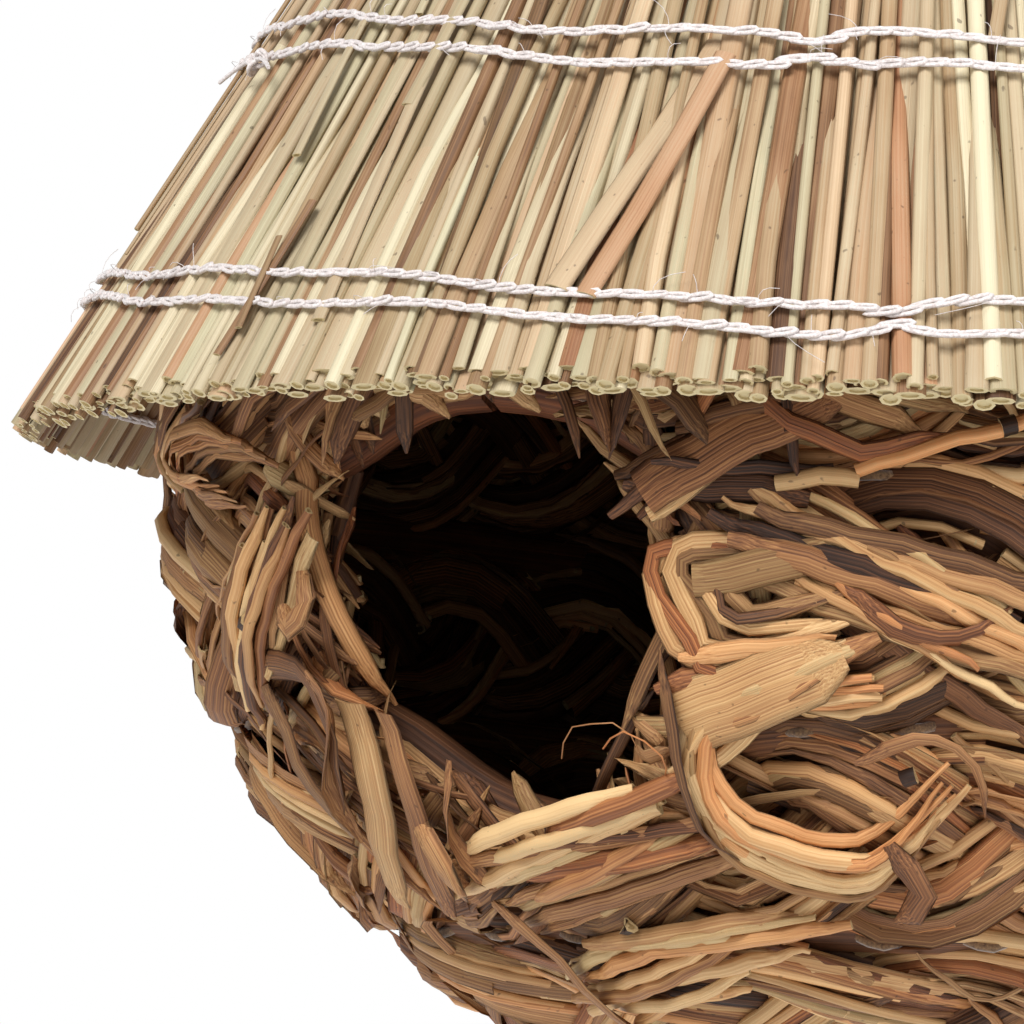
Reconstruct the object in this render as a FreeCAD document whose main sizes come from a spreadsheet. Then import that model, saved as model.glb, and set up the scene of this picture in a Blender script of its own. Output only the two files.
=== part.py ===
"""Hanging insect hotel: a pot of sewn, plaited maize leaf under a loose conical roof of stitched straw matting.

Millimetres, +Z up. Every sub-part is drawn from the eave plane, the flat plane through the outer edge of the
roof, and its Placement then lowers it by eye_height, so that the part's origin is the centre of the hanging
eye. The entrance faces -Y. The roof turns on a sleeve, and the sleeve slides on the hanging wire.
"""

import FreeCAD, Part
import math
import os

import Sketcher

DIMENSIONS = {
    # the pot's wall, an egg shape: its middle surface, and the plait that follows it
    "wall_radius": 98.5,
    "wall_depth": 89.0,
    "wall_rise": 86.5,
    "plait_thickness": 13.0,
    "seam_gap": 1.0,
    # the seams between plait courses, as angles round the egg, from 0 at its widest level
    "seam_angle_1": -68.5,
    "seam_angle_2": -47.3,
    "seam_angle_3": -26.0,
    "seam_angle_4": -6.0,
    "seam_angle_5": 14.0,
    "seam_angle_6": 32.5,
    "seam_angle_7": 49.5,
    "seam_angle_8": 63.5,
    "seam_angle_9": 76.0,
    "twine_radius": 0.75,
    "twine_depth": 3.3,
    # the coils that close the pot below and above
    "coil_thickness": 12.0,
    "coil_edge": 5.0,
    "base_radius": 35.2,
    "base_underside": -92.0,
    "crown_radius": 23.4,
    "crown_underside": 79.0,
    # the entrance, a round hole through the front of the wall
    "entrance_radius": 28.0,
    "entrance_height": -25.0,
    # the straw roof: a cone of two mats, gathered and tied at the neck, with the straw ends flaring above
    "eave_radius": 125.0,
    "roof_angle": 30.7,
    "mat_thickness": 2.2,
    "mat_gap": 0.3,
    "shoulder_height": 171.0,
    "neck_height": 183.5,
    "neck_length": 9.6,
    "neck_radius": 14.5,
    "neck_inner_radius": 9.0,
    "tuft_height": 214.0,
    "tuft_radius": 23.0,
    "tuft_inner_radius": 14.0,
    "gather_height": 168.0,
    "binding_radius": 0.9,
    "binding_pitch": 1.9,
    # rows of thread, as distances up the slope from the eave
    "thread_radius": 0.6,
    "contact_gap": 0.05,
    "row_place_1": 11.5,
    "row_place_2": 16.0,
    "row_place_3": 53.5,
    "row_place_4": 58.5,
    "row_place_5": 97.5,
    "row_place_6": 102.5,
    "row_place_7": 142.0,
    "row_place_8": 147.0,
    "knot_radius": 1.9,
    "knot_azimuth": 239.0,
    # the sleeve in the neck
    "sleeve_radius": 4.0,
    "sleeve_top": 216.0,
    "flange_radius": 9.0,
    "flange_thickness": 2.2,
    "running_gap": 0.06,
    # the hanging wire and the stick that it is hooked under
    "wire_radius": 1.3,
    "wire_gap": 0.3,
    "eye_height": 282.0,
    "eye_radius": 9.0,
    "eye_bend": 6.0,
    "eye_tip": 1.75,
    "hook_bend": 2.0,
    "hook_length": 14.0,
    "stick_radius": 4.0,
    "stick_length": 46.0,
}

COURSES = 8
COURSES_AT_ENTRANCE = (2, 3, 4)
SEAMS_AT_ENTRANCE = (3, 4)
THREAD_ROWS = 8
BINDING_TURNS = 5

doc = FreeCAD.newDocument("insect_hotel")
sheet = doc.addObject("Spreadsheet::Sheet", "Dimensions")
for row, (alias, number) in enumerate(DIMENSIONS.items(), start=1):
    sheet.set(f"A{row}", alias)
    sheet.set(f"B{row}", str(number))
    sheet.setAlias(f"B{row}", alias)
doc.recompute()

sub_parts = []


class Size:
    """A number together with the formula that binds it to the sheet."""

    def __init__(self, number, formula):
        self.number = number
        self.formula = formula

    def __add__(self, other):
        return Size(self.number + as_size(other).number, f"({self.formula} + {as_size(other).formula})")

    def __sub__(self, other):
        return Size(self.number - as_size(other).number, f"({self.formula} - {as_size(other).formula})")

    def __mul__(self, other):
        return Size(self.number * as_size(other).number, f"{self.formula} * {as_size(other).formula}")

    def __truediv__(self, other):
        return Size(self.number / as_size(other).number, f"{self.formula} / ({as_size(other).formula})")

    def __neg__(self):
        return self * -1


def as_size(value):
    """A plain number as a Size, or the Size itself."""
    return value if isinstance(value, Size) else Size(float(value), f"({value})")


def cell(alias):
    """A driving dimension from the sheet."""
    return Size(float(sheet.get(alias)), f"Dimensions.{alias}")


def sine(angle):
    return Size(math.sin(math.radians(angle.number)), f"sin({angle.formula})")


def cosine(angle):
    return Size(math.cos(math.radians(angle.number)), f"cos({angle.formula})")


def root(value):
    return Size(math.sqrt(value.number), f"sqrt({value.formula})")


def length_of(across, up):
    """The length of a line that goes so far across and so far up."""
    return root(across * across + up * up)


def lower_by_eye_height(thing):
    """Put a thing drawn from the eave plane into the part's frame."""
    thing.setExpression("Placement.Base.z", "-Dimensions.eye_height")


def bound(thing, **sizes):
    """Bind a primitive's properties to the sheet."""
    for name, value in sizes.items():
        thing.setExpression(name, as_size(value).formula)
    return thing


def keep(thing, label):
    """Name a finished sub-part, which is then written to a file of that name."""
    thing.Label = label
    sub_parts.append(thing)
    return thing


# ---- sketches and bodies -----------------------------------------------------------------------------------


def plane_of(body, role):
    """One of a body's own origin planes."""
    return next(feature for feature in body.Origin.OriginFeatures if feature.Role == role)


def new_sketch(body, role):
    sketch = body.newObject("Sketcher::SketchObject", f"{body.Name}_sketch")
    sketch.AttachmentSupport = [(plane_of(body, role), "")]
    sketch.MapMode = "FlatFace"
    return sketch


def constrain(sketch, kind, *where, size=None):
    """Add a constraint, bound to the sheet when it has a size."""
    if size is None:
        return sketch.addConstraint(Sketcher.Constraint(kind, *where))
    index = sketch.addConstraint(Sketcher.Constraint(kind, *where, size.number))
    sketch.setExpression(f"Constraints[{index}]", size.formula)
    return index


def pin(sketch, geometry, end, across, up):
    """Hold a point of the sketch at a place measured from its origin."""
    constrain(sketch, "DistanceX", -1, 1, geometry, end, size=across)
    constrain(sketch, "DistanceY", -1, 1, geometry, end, size=up)


def flat(across, up):
    return FreeCAD.Vector(across.number, up.number, 0)


def draw_outline(sketch, corners):
    """A closed outline of straight sides, with every corner held."""
    for index, corner in enumerate(corners):
        following = corners[(index + 1) % len(corners)]
        sketch.addGeometry(Part.LineSegment(flat(*corner), flat(*following)))
    for index, corner in enumerate(corners):
        constrain(sketch, "Coincident", index - 1 if index else len(corners) - 1, 2, index, 1)
        pin(sketch, index, 1, *corner)


def draw_slot(sketch, first, second, radius):
    """A closed outline with parallel sides and round ends about two centres."""
    heading = math.atan2(second[1].number - first[1].number, second[0].number - first[0].number)
    aside = FreeCAD.Vector(-math.sin(heading), math.cos(heading), 0) * radius.number
    up = FreeCAD.Vector(0, 0, 1)
    near, far = flat(*first), flat(*second)
    quarter = math.pi / 2
    sketch.addGeometry(
        Part.ArcOfCircle(Part.Circle(near, up, radius.number), heading + quarter, heading + 3 * quarter)
    )
    sketch.addGeometry(Part.LineSegment(near - aside, far - aside))
    sketch.addGeometry(
        Part.ArcOfCircle(Part.Circle(far, up, radius.number), heading - quarter, heading + quarter)
    )
    sketch.addGeometry(Part.LineSegment(far + aside, near + aside))
    for index in range(4):
        constrain(sketch, "Tangent", index, 2, (index + 1) % 4, 1)
    pin(sketch, 0, 3, *first)
    pin(sketch, 2, 3, *second)
    constrain(sketch, "Radius", 0, size=radius)


def revolve(body, sketch):
    """Turn a body's sketch once round the vertical axis."""
    turned = body.newObject("PartDesign::Revolution", f"{body.Name}_turned")
    turned.Profile = sketch
    turned.ReferenceAxis = (sketch, ["V_Axis"])
    turned.Angle = 360.0
    sketch.Visibility = False
    return turned


def cut_entrance(body):
    """Bore the entrance through the front of the wall, and make sure that it took something away."""
    doc.recompute()
    volume_before = body.Shape.Volume
    sketch = new_sketch(body, "XZ_Plane")
    sketch.addGeometry(Part.Circle(FreeCAD.Vector(0, 0, 0), FreeCAD.Vector(0, 0, 1), 1))
    pin(sketch, 0, 3, as_size(0), cell("entrance_height"))
    constrain(sketch, "Radius", 0, size=cell("entrance_radius"))
    pocket = body.newObject("PartDesign::Pocket", f"{body.Name}_entrance")
    pocket.Profile = sketch
    pocket.Type = "ThroughAll"
    pocket.Reversed = True
    sketch.Visibility = False
    doc.recompute()
    if not body.Shape.Volume < volume_before:
        raise RuntimeError(f"the entrance missed {body.Name}")


# ---- the pot -----------------------------------------------------------------------------------------------


def wall_point(angle):
    """A point of the wall's middle surface, out from the axis and up from the eave plane."""
    rise = cell("wall_rise") if angle.number > 0 else cell("wall_depth")
    return cell("wall_radius") * cosine(angle), rise * sine(angle)


def wall_outward(angle):
    """The direction that points squarely out of the wall at a point of its middle surface."""
    rise = cell("wall_rise") if angle.number > 0 else cell("wall_depth")
    across = rise * cosine(angle)
    up = cell("wall_radius") * sine(angle)
    reach = length_of(across, up)
    return across / reach, up / reach


def seam_angle(number):
    return cell(f"seam_angle_{number}")


def make_course(number):
    """One round of the flat plait, a ring with round edges, which lies between two seams."""
    lower, upper = wall_point(seam_angle(number)), wall_point(seam_angle(number + 1))
    across, up = upper[0] - lower[0], upper[1] - lower[1]
    half_thickness = cell("plait_thickness") / 2
    inset = (half_thickness + cell("seam_gap") / 2) / length_of(across, up)
    body = doc.addObject("PartDesign::Body", f"course_{number}")
    sketch = new_sketch(body, "XZ_Plane")
    lower_centre = (lower[0] + across * inset, lower[1] + up * inset)
    upper_centre = (upper[0] - across * inset, upper[1] - up * inset)
    draw_slot(sketch, lower_centre, upper_centre, half_thickness)
    revolve(body, sketch)
    if number in COURSES_AT_ENTRANCE:
        cut_entrance(body)
    lower_by_eye_height(body)
    keep(body, f"plait_course_{number}")


def make_seam_twine(number):
    """The twine that runs in the outer groove between two courses and holds them together."""
    angle = seam_angle(number)
    middle, outward = wall_point(angle), wall_outward(angle)
    body = doc.addObject("PartDesign::Body", f"twine_{number}")
    sketch = new_sketch(body, "XZ_Plane")
    sketch.addGeometry(Part.Circle(flat(*middle), FreeCAD.Vector(0, 0, 1), cell("twine_radius").number))
    depth = cell("twine_depth")
    pin(sketch, 0, 3, middle[0] + outward[0] * depth, middle[1] + outward[1] * depth)
    constrain(sketch, "Radius", 0, size=cell("twine_radius"))
    revolve(body, sketch)
    if number in SEAMS_AT_ENTRANCE:
        cut_entrance(body)
    lower_by_eye_height(body)
    keep(body, f"seam_twine_{number}")


def make_coil(label, radius, underside, hole_radius):
    """A flat round coil of the plait, with rounded edges, and with a hole where its plait starts."""
    body = doc.addObject("PartDesign::Body", label)
    sketch = new_sketch(body, "XZ_Plane")
    top = underside + cell("coil_thickness")
    corners = [(hole_radius, underside), (radius, underside), (radius, top), (hole_radius, top)]
    draw_outline(sketch, corners)
    turned = revolve(body, sketch)
    doc.recompute()
    rim = [
        f"Edge{place}"
        for place, edge in enumerate(turned.Shape.Edges, start=1)
        if edge.Curve.TypeId == "Part::GeomCircle" and abs(edge.Curve.Radius - radius.number) < 1e-6
    ]
    rounded = body.newObject("PartDesign::Fillet", f"{label}_edge")
    rounded.Base = (turned, rim)
    rounded.setExpression("Radius", "Dimensions.coil_edge")
    lower_by_eye_height(body)
    keep(body, label)


for course in range(1, COURSES + 1):
    make_course(course)
for seam in range(1, COURSES + 2):
    make_seam_twine(seam)
make_coil("base_coil", cell("base_radius"), cell("base_underside"), as_size(0))
wire_hole = cell("wire_radius") + cell("wire_gap")
make_coil("crown_coil", cell("crown_radius"), cell("crown_underside"), wire_hole)

# ---- the roof ----------------------------------------------------------------------------------------------

slope = cell("roof_angle")


def roof_point(up_slope, outward):
    """A point so far up the roof's slope from the eave, and so far out of its outer face."""
    across = cell("eave_radius") - up_slope * sine(slope) + outward * cosine(slope)
    return across, up_slope * cosine(slope) + outward * sine(slope)


def roof_face(height, depth):
    """The radius, at a height, of the cone that lies so deep under the roof's outer face."""
    return cell("eave_radius") - height * sine(slope) / cosine(slope) - depth / cosine(slope)


def make_mat(label, corners):
    body = doc.addObject("PartDesign::Body", label)
    sketch = new_sketch(body, "XZ_Plane")
    draw_outline(sketch, corners)
    revolve(body, sketch)
    lower_by_eye_height(body)
    keep(body, label)


thickness, between = cell("mat_thickness"), cell("mat_gap")
at_eave = as_size(0)
neck_foot = cell("neck_height") - cell("neck_length") / 2
neck_top = cell("neck_height") + cell("neck_length") / 2
shoulder, gather, tuft_top = cell("shoulder_height"), cell("gather_height"), cell("tuft_height")
sleeve_hole = cell("sleeve_radius") + cell("running_gap")

make_mat(
    "outer_straw_mat",
    [
        roof_point(at_eave, as_size(0)),
        (roof_face(shoulder, as_size(0)), shoulder),
        (cell("neck_radius"), neck_foot),
        (cell("neck_radius"), neck_top),
        (cell("tuft_radius"), tuft_top),
        (cell("tuft_inner_radius") + between, tuft_top),
        (cell("neck_inner_radius") + between, neck_top),
        (cell("neck_inner_radius") + between, neck_foot),
        (roof_face(shoulder, thickness), shoulder),
        roof_point(at_eave, -thickness),
    ],
)
make_mat(
    "inner_straw_mat",
    [
        roof_point(at_eave, -(thickness + between)),
        (roof_face(shoulder, thickness + between), shoulder),
        (cell("neck_inner_radius"), neck_foot),
        (cell("neck_inner_radius"), neck_top),
        (cell("tuft_inner_radius"), tuft_top),
        (sleeve_hole, tuft_top),
        (sleeve_hole, gather),
        (roof_face(gather, thickness * 2 + between), gather),
        roof_point(at_eave, -(thickness * 2 + between)),
    ],
)


def make_ring(name, centre, radius):
    """A ring of thread or twine round the axis, through a point so far across and so far up."""
    ring = bound(doc.addObject("Part::Torus", name), Radius1=centre[0], Radius2=radius)
    ring.setExpression("Placement.Base.z", centre[1].formula)
    return ring


def make_group(label, members):
    group = doc.addObject("Part::Compound", label)
    group.Links = members
    lower_by_eye_height(group)
    keep(group, label)


thread = cell("thread_radius")
proud = thread + cell("contact_gap")
for row in range(1, THREAD_ROWS + 1):
    place = cell(f"row_place_{row}")
    outside = make_ring(f"outside_thread_{row}", roof_point(place, proud), thread)
    inside_face = -(thickness * 2 + between + proud)
    inside = make_ring(f"inside_thread_{row}", roof_point(place, inside_face), thread)
    make_group(f"thread_row_{row}", [outside, inside])

turns = []
for turn in range(BINDING_TURNS):
    across = cell("neck_radius") + cell("binding_radius") + cell("contact_gap")
    above_middle = cell("binding_pitch") * (turn - (BINDING_TURNS - 1) / 2)
    level = cell("neck_height") + above_middle
    turns.append(make_ring(f"binding_turn_{turn + 1}", (across, level), cell("binding_radius")))
make_group("neck_binding", turns)

knot = bound(doc.addObject("Part::Sphere", "knot"), Radius=cell("knot_radius"))
knot_place = (cell("row_place_3") + cell("row_place_4")) / 2
knot_across, knot_up = roof_point(knot_place, cell("knot_radius") + cell("contact_gap"))
around = cell("knot_azimuth")
knot.setExpression("Placement.Base.x", (knot_across * cosine(around)).formula)
knot.setExpression("Placement.Base.y", (knot_across * sine(around)).formula)
knot.setExpression("Placement.Base.z", (knot_up - cell("eye_height")).formula)
keep(knot, "thread_knot")

# ---- the sleeve, the wire and the stick --------------------------------------------------------------------

sleeve = doc.addObject("PartDesign::Body", "sleeve")
sleeve_sketch = new_sketch(sleeve, "XZ_Plane")
flange_top = gather - between
flange_underside = flange_top - cell("flange_thickness")
sleeve_bore = cell("wire_radius") + cell("running_gap")
draw_outline(
    sleeve_sketch,
    [
        (sleeve_bore, flange_underside),
        (cell("flange_radius"), flange_underside),
        (cell("flange_radius"), flange_top),
        (cell("sleeve_radius"), flange_top),
        (cell("sleeve_radius"), cell("sleeve_top")),
        (sleeve_bore, cell("sleeve_top")),
    ],
)
revolve(sleeve, sleeve_sketch)
lower_by_eye_height(sleeve)
keep(sleeve, "roof_sleeve")

# The stick lies along X, hard up under the crown coil, and is drilled through its middle for the wire.
stick_level = cell("crown_underside") - cell("stick_radius")
stick_round = bound(
    doc.addObject("Part::Cylinder", "stick_round"), Radius=cell("stick_radius"), Height=cell("stick_length")
)
stick_round.Placement.Rotation = FreeCAD.Rotation(FreeCAD.Vector(0, 1, 0), 90)
stick_round.setExpression("Placement.Base.x", (-(cell("stick_length") / 2)).formula)
stick_drill = bound(
    doc.addObject("Part::Cylinder", "stick_drill"), Radius=wire_hole, Height=cell("stick_radius") * 4
)
stick_drill.setExpression("Placement.Base.z", (-(cell("stick_radius") * 2)).formula)
stick = doc.addObject("Part::Cut", "stick")
stick.Base = stick_round
stick.Tool = stick_drill
stick.setExpression("Placement.Base.z", (stick_level - cell("eye_height")).formula)
keep(stick, "toggle_stick")


def make_wire():
    """One bent wire: a hook under the stick, a straight stem on the axis and an open eye round the origin."""
    body = doc.addObject("PartDesign::Body", "wire")
    path = new_sketch(body, "XZ_Plane")
    up = FreeCAD.Vector(0, 0, 1)
    eye, bend, hook = cell("eye_radius"), cell("eye_bend"), cell("hook_bend")
    hook_level = stick_level - cell("stick_radius") - wire_hole
    # The stem bends away to -X and meets the eye's circle where the two circles' centres line up.
    bend_drop = root((eye + bend) * (eye + bend) - bend * bend)
    bend_level = cell("eye_height") - bend_drop
    turn = math.atan2(bend_drop.number, bend.number)
    tip = math.asin(cell("eye_tip").number / eye.number)
    hook_end, hook_start = flat(cell("hook_length"), hook_level), flat(hook, hook_level)
    stem_foot = flat(as_size(0), hook_level + hook)
    stem_head = flat(as_size(0), bend_level)
    path.addGeometry(Part.LineSegment(hook_end, hook_start))
    hook_circle = Part.Circle(flat(hook, hook_level + hook), up, hook.number)
    path.addGeometry(Part.ArcOfCircle(hook_circle, math.pi, 1.5 * math.pi))
    path.addGeometry(Part.LineSegment(stem_foot, stem_head))
    bend_circle = Part.Circle(flat(-bend, bend_level), up, bend.number)
    path.addGeometry(Part.ArcOfCircle(bend_circle, 0, turn))
    eye_circle = Part.Circle(flat(as_size(0), cell("eye_height")), up, eye.number)
    path.addGeometry(Part.ArcOfCircle(eye_circle, tip - math.pi / 2, math.pi + turn))
    hook_line, hook_arc, stem, bend_arc, eye_arc = range(5)
    start, end, centre, upright = 1, 2, 3, -2
    pin(path, hook_line, start, cell("hook_length"), hook_level)
    constrain(path, "Horizontal", hook_line)
    constrain(path, "Tangent", hook_line, end, hook_arc, end)
    constrain(path, "Radius", hook_arc, size=hook)
    constrain(path, "Tangent", hook_arc, start, stem, start)
    constrain(path, "PointOnObject", stem, start, upright)
    constrain(path, "Vertical", stem)
    constrain(path, "Tangent", stem, end, bend_arc, start)
    constrain(path, "Radius", bend_arc, size=bend)
    constrain(path, "Tangent", bend_arc, end, eye_arc, end)
    constrain(path, "Radius", eye_arc, size=eye)
    pin(path, eye_arc, centre, as_size(0), cell("eye_height"))
    constrain(path, "DistanceX", -1, 1, eye_arc, start, size=cell("eye_tip"))
    section = new_sketch(body, "YZ_Plane")
    section.setExpression(".AttachmentOffset.Base.z", "Dimensions.hook_length")
    section.addGeometry(Part.Circle(FreeCAD.Vector(0, hook_level.number, 0), up, cell("wire_radius").number))
    pin(section, 0, centre, as_size(0), hook_level)
    constrain(section, "Radius", 0, size=cell("wire_radius"))
    pipe = body.newObject("PartDesign::AdditivePipe", "wire_pipe")
    pipe.Profile = section
    pipe.Spine = path
    doc.recompute()
    run = sum(edge.Length for edge in path.Shape.Edges)
    expected = math.pi * cell("wire_radius").number ** 2 * run
    if abs(body.Shape.Volume - expected) > 0.01 * expected:
        raise RuntimeError("the hanging wire's volume isn't its section times its length")
    lower_by_eye_height(body)
    keep(body, "hanger_wire")


make_wire()

# ---- check and write ---------------------------------------------------------------------------------------

doc.recompute()
for thing in doc.Objects:
    if {"Invalid", "Error"} & set(thing.State):
        raise RuntimeError(f"{thing.Name} did not recompute: {thing.State}")
for thing in sub_parts:
    if thing.Shape.isNull() or not thing.Shape.isValid():
        raise RuntimeError(f"{thing.Label} has no valid shape")

os.makedirs("parts", exist_ok=True)
for thing in sub_parts:
    thing.Shape.exportStep(f"parts/{thing.Label}.step")
print(f"{len(sub_parts)} sub-parts written")
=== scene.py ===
# %% [markdown]
# # An insect hotel of plaited leaf and straw
#
# The hotel is a round pot of sewn, plaited maize leaf that hangs on a wire under a loose straw roof. Nearly
# all of it is long, thin and dry: straws, leaf strips, stems and thread. So nearly all of it is made the
# same way. Short Python functions lay centre lines where a hand would lay each strip, and one Geometry
# Nodes tree then sweeps a cross-section along every line. The CAD frame says where everything goes.

# %% Load the frame
import math
import random

import bpy
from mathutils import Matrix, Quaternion, Vector


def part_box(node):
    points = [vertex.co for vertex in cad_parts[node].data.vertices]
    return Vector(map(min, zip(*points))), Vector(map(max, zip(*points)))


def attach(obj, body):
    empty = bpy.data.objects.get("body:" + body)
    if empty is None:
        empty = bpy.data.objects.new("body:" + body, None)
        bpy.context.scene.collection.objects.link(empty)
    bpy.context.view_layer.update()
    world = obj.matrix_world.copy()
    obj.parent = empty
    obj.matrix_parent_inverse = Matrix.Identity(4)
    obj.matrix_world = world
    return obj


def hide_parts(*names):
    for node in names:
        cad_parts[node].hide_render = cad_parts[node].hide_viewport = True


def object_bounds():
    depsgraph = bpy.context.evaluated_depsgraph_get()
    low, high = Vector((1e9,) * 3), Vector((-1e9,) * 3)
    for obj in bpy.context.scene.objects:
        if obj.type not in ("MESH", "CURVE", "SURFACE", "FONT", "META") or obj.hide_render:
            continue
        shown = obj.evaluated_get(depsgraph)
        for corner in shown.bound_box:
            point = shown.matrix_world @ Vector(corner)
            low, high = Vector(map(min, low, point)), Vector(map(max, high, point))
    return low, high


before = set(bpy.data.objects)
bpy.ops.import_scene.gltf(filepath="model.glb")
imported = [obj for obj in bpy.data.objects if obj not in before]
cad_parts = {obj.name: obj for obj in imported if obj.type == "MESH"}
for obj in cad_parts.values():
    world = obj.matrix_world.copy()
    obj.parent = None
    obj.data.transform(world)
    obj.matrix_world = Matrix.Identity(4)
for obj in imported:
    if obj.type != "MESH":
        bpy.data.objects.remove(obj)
cad_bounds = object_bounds()
MM = 0.001
UP = Vector((0, 0, 1))
print("CAD box", [[round(value, 4) for value in corner] for corner in cad_bounds])

# %% [markdown]
# Everything is round about the hanging wire, so places are given in three numbers: an angle round the wire,
# counted in degrees from the entrance towards the right-hand side of someone who faces it, a distance out
# from the wire, and a height. Two small functions turn these into points.

# %% Directions round the wire


def out_from_wire(around):
    """The level direction that points away from the wire at an angle."""
    angle = math.radians(around)
    return Vector((math.sin(angle), -math.cos(angle), 0))


def round_the_wire(around):
    """The level direction in which the angle grows."""
    angle = math.radians(around)
    return Vector((math.cos(angle), math.sin(angle), 0))


def smooth(value):
    """Ease from 0 to 1."""
    value = min(max(value, 0), 1)
    return value * value * (3 - 2 * value)


# %% [markdown]
# The pot's wall is eight courses of flat plait with a ring of sewing twine in each groove between them. The
# boxes of the twine rings say where the grooves are, which is all that is needed to find any place on a
# course: how far it lies across the course, and how far it stands out of the middle of the wall.

# %% The pot's courses, read from the frame
TWINE_DEPTH = 3.3 * MM
UNDER_ROOF = 0.7 * MM
FIRST_UNDER_ROOF = 5
seams = []
for number in range(1, 10):
    low, high = (Vector(corner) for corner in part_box(f"seam_twine_{number}"))
    twine_radius = (high.z - low.z) / 2
    seams.append((high.x - twine_radius, (high.z + low.z) / 2))


class Course:
    """One course of the plait, between two grooves."""

    def __init__(self, number):
        self.number = number
        lower, upper = seams[number - 1], seams[number]
        across, rise = upper[0] - lower[0], upper[1] - lower[1]
        self.width = math.hypot(across, rise)
        self.up = (across / self.width, rise / self.width)
        self.out = (self.up[1], -self.up[0])
        self.radius = (lower[0] + upper[0]) / 2 - self.out[0] * TWINE_DEPTH
        self.height = (lower[1] + upper[1]) / 2 - self.out[1] * TWINE_DEPTH
        if number >= FIRST_UNDER_ROOF:
            self.radius -= self.out[0] * UNDER_ROOF
            self.height -= self.out[1] * UNDER_ROOF

    def place(self, across, out):
        """The distance from the wire and the height of a place on the course."""
        radius = self.radius + self.up[0] * across + self.out[0] * out
        height = self.height + self.up[1] * across + self.out[1] * out
        return radius, height

    def outward(self, around):
        return out_from_wire(around) * self.out[0] + UP * self.out[1]


courses = [Course(number) for number in range(1, 9)]
print("courses at", [f"{course.radius / MM:.0f} mm out" for course in courses])


def wall_radius(height):
    """The distance from the wire to the grooves' surface at a height."""
    for lower, upper in zip(seams, seams[1:]):
        if height <= upper[1]:
            break
    share = (height - lower[1]) / (upper[1] - lower[1])
    return lower[0] + (upper[0] - lower[0]) * share


# %% [markdown]
# The entrance isn't cut with a knife. The plait is led round it, so the strips part to the right of the
# hole and run along its edge. That is made by a push: any point of the wall near the hole's middle moves
# straight away from it, and the lip of the hole rolls inwards.

# %% The push that opens the entrance
EAVE_HEIGHT = -282 * MM
HOLE_LEVEL = -25
ENTRANCE_HEIGHT = EAVE_HEIGHT + HOLE_LEVEL * MM
ENTRANCE_RADIUS = 30 * MM
LIP = 7 * MM
ROLL_INWARDS = 4 * MM
PUSH_SHARPNESS = 4
PUSH_REACH = 4
PUSH_WIDEST = 70


def on_the_wall(around, radius, height):
    """A point of the pot after the push, how it faces towards the entrance, and how far it was pushed."""
    around = (around + 180) % 360 - 180
    sideways = math.radians(around) * radius
    rise = height - ENTRANCE_HEIGHT
    corner = math.atan2(rise, sideways)
    hole = ENTRANCE_RADIUS * (1 + 0.04 * math.cos(2 * corner) + 0.035 * math.sin(3 * corner + 0.5))
    away = math.hypot(sideways, rise)
    if abs(around) > PUSH_WIDEST or away > PUSH_REACH * hole:
        return out_from_wire(around) * radius + UP * height, Vector((0, 0, 0)), 1
    away = max(away, 0.1 * MM)
    pushed = (away**PUSH_SHARPNESS + hole**PUSH_SHARPNESS) ** (1 / PUSH_SHARPNESS)
    lip = 1 - smooth((pushed - hole) / LIP)
    new_sideways, new_rise = sideways / away * pushed, rise / away * pushed
    new_height = ENTRANCE_HEIGHT + new_rise
    new_radius = radius + wall_radius(new_height) - wall_radius(height) - ROLL_INWARDS * lip
    new_around = math.degrees(new_sideways / new_radius)
    towards_hole = -(round_the_wire(new_around) * new_sideways + UP * new_rise).normalized() * lip
    return out_from_wire(new_around) * new_radius + UP * new_height, towards_hole, pushed / away


print("entrance", round(2 * ENTRANCE_RADIUS / MM), "mm wide at a height of", round(ENTRANCE_HEIGHT, 3), "m")


# %% [markdown]
# The roof is a cone. Its slope is read from the rings of thread in the CAD: the lowest and the highest ring
# both lie on its outer face. A place on the roof is an angle, a distance up the slope from the eave, and a
# distance out of the face.

# %% The roof's slope, read from the frame
roof_high_corner = Vector(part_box("outer_straw_mat")[1])
rings = []
for number in range(1, 9):
    low, high = (Vector(corner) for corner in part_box(f"thread_row_{number}"))
    rings.append((high.x, high.z))
run, rise = rings[-1][0] - rings[0][0], rings[-1][1] - rings[0][1]
slope_length = math.hypot(run, rise)
SLOPE = (run / slope_length, rise / slope_length)
FACE = (SLOPE[1], -SLOPE[0])
EAVE_RADIUS = roof_high_corner.x
row_places = [(EAVE_RADIUS - ring[0]) / -SLOPE[0] for ring in rings]
row_circles = [2 * math.pi * ring[0] for ring in rings]
print("roof slopes at", round(math.degrees(math.atan2(-SLOPE[0], SLOPE[1])), 1), "degrees from upright")


def on_the_roof(around, up_slope, out):
    radius = EAVE_RADIUS + SLOPE[0] * up_slope + FACE[0] * out
    height = EAVE_HEIGHT + SLOPE[1] * up_slope + FACE[1] * out
    return out_from_wire(around) * radius + UP * height


def roof_outward(around):
    return out_from_wire(around) * FACE[0] + UP * FACE[1]


# %% [markdown]
# A set of guides gathers centre lines until there are enough for one sweep. Each point of a line says which
# way the strip faces there and half how wide it is, and each line has a tint, a seed of its own so that no
# two strips carry the same grain, and a hollow: how deeply the strip is dished across.

# %% Centre lines for strips, stems and thread


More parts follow.
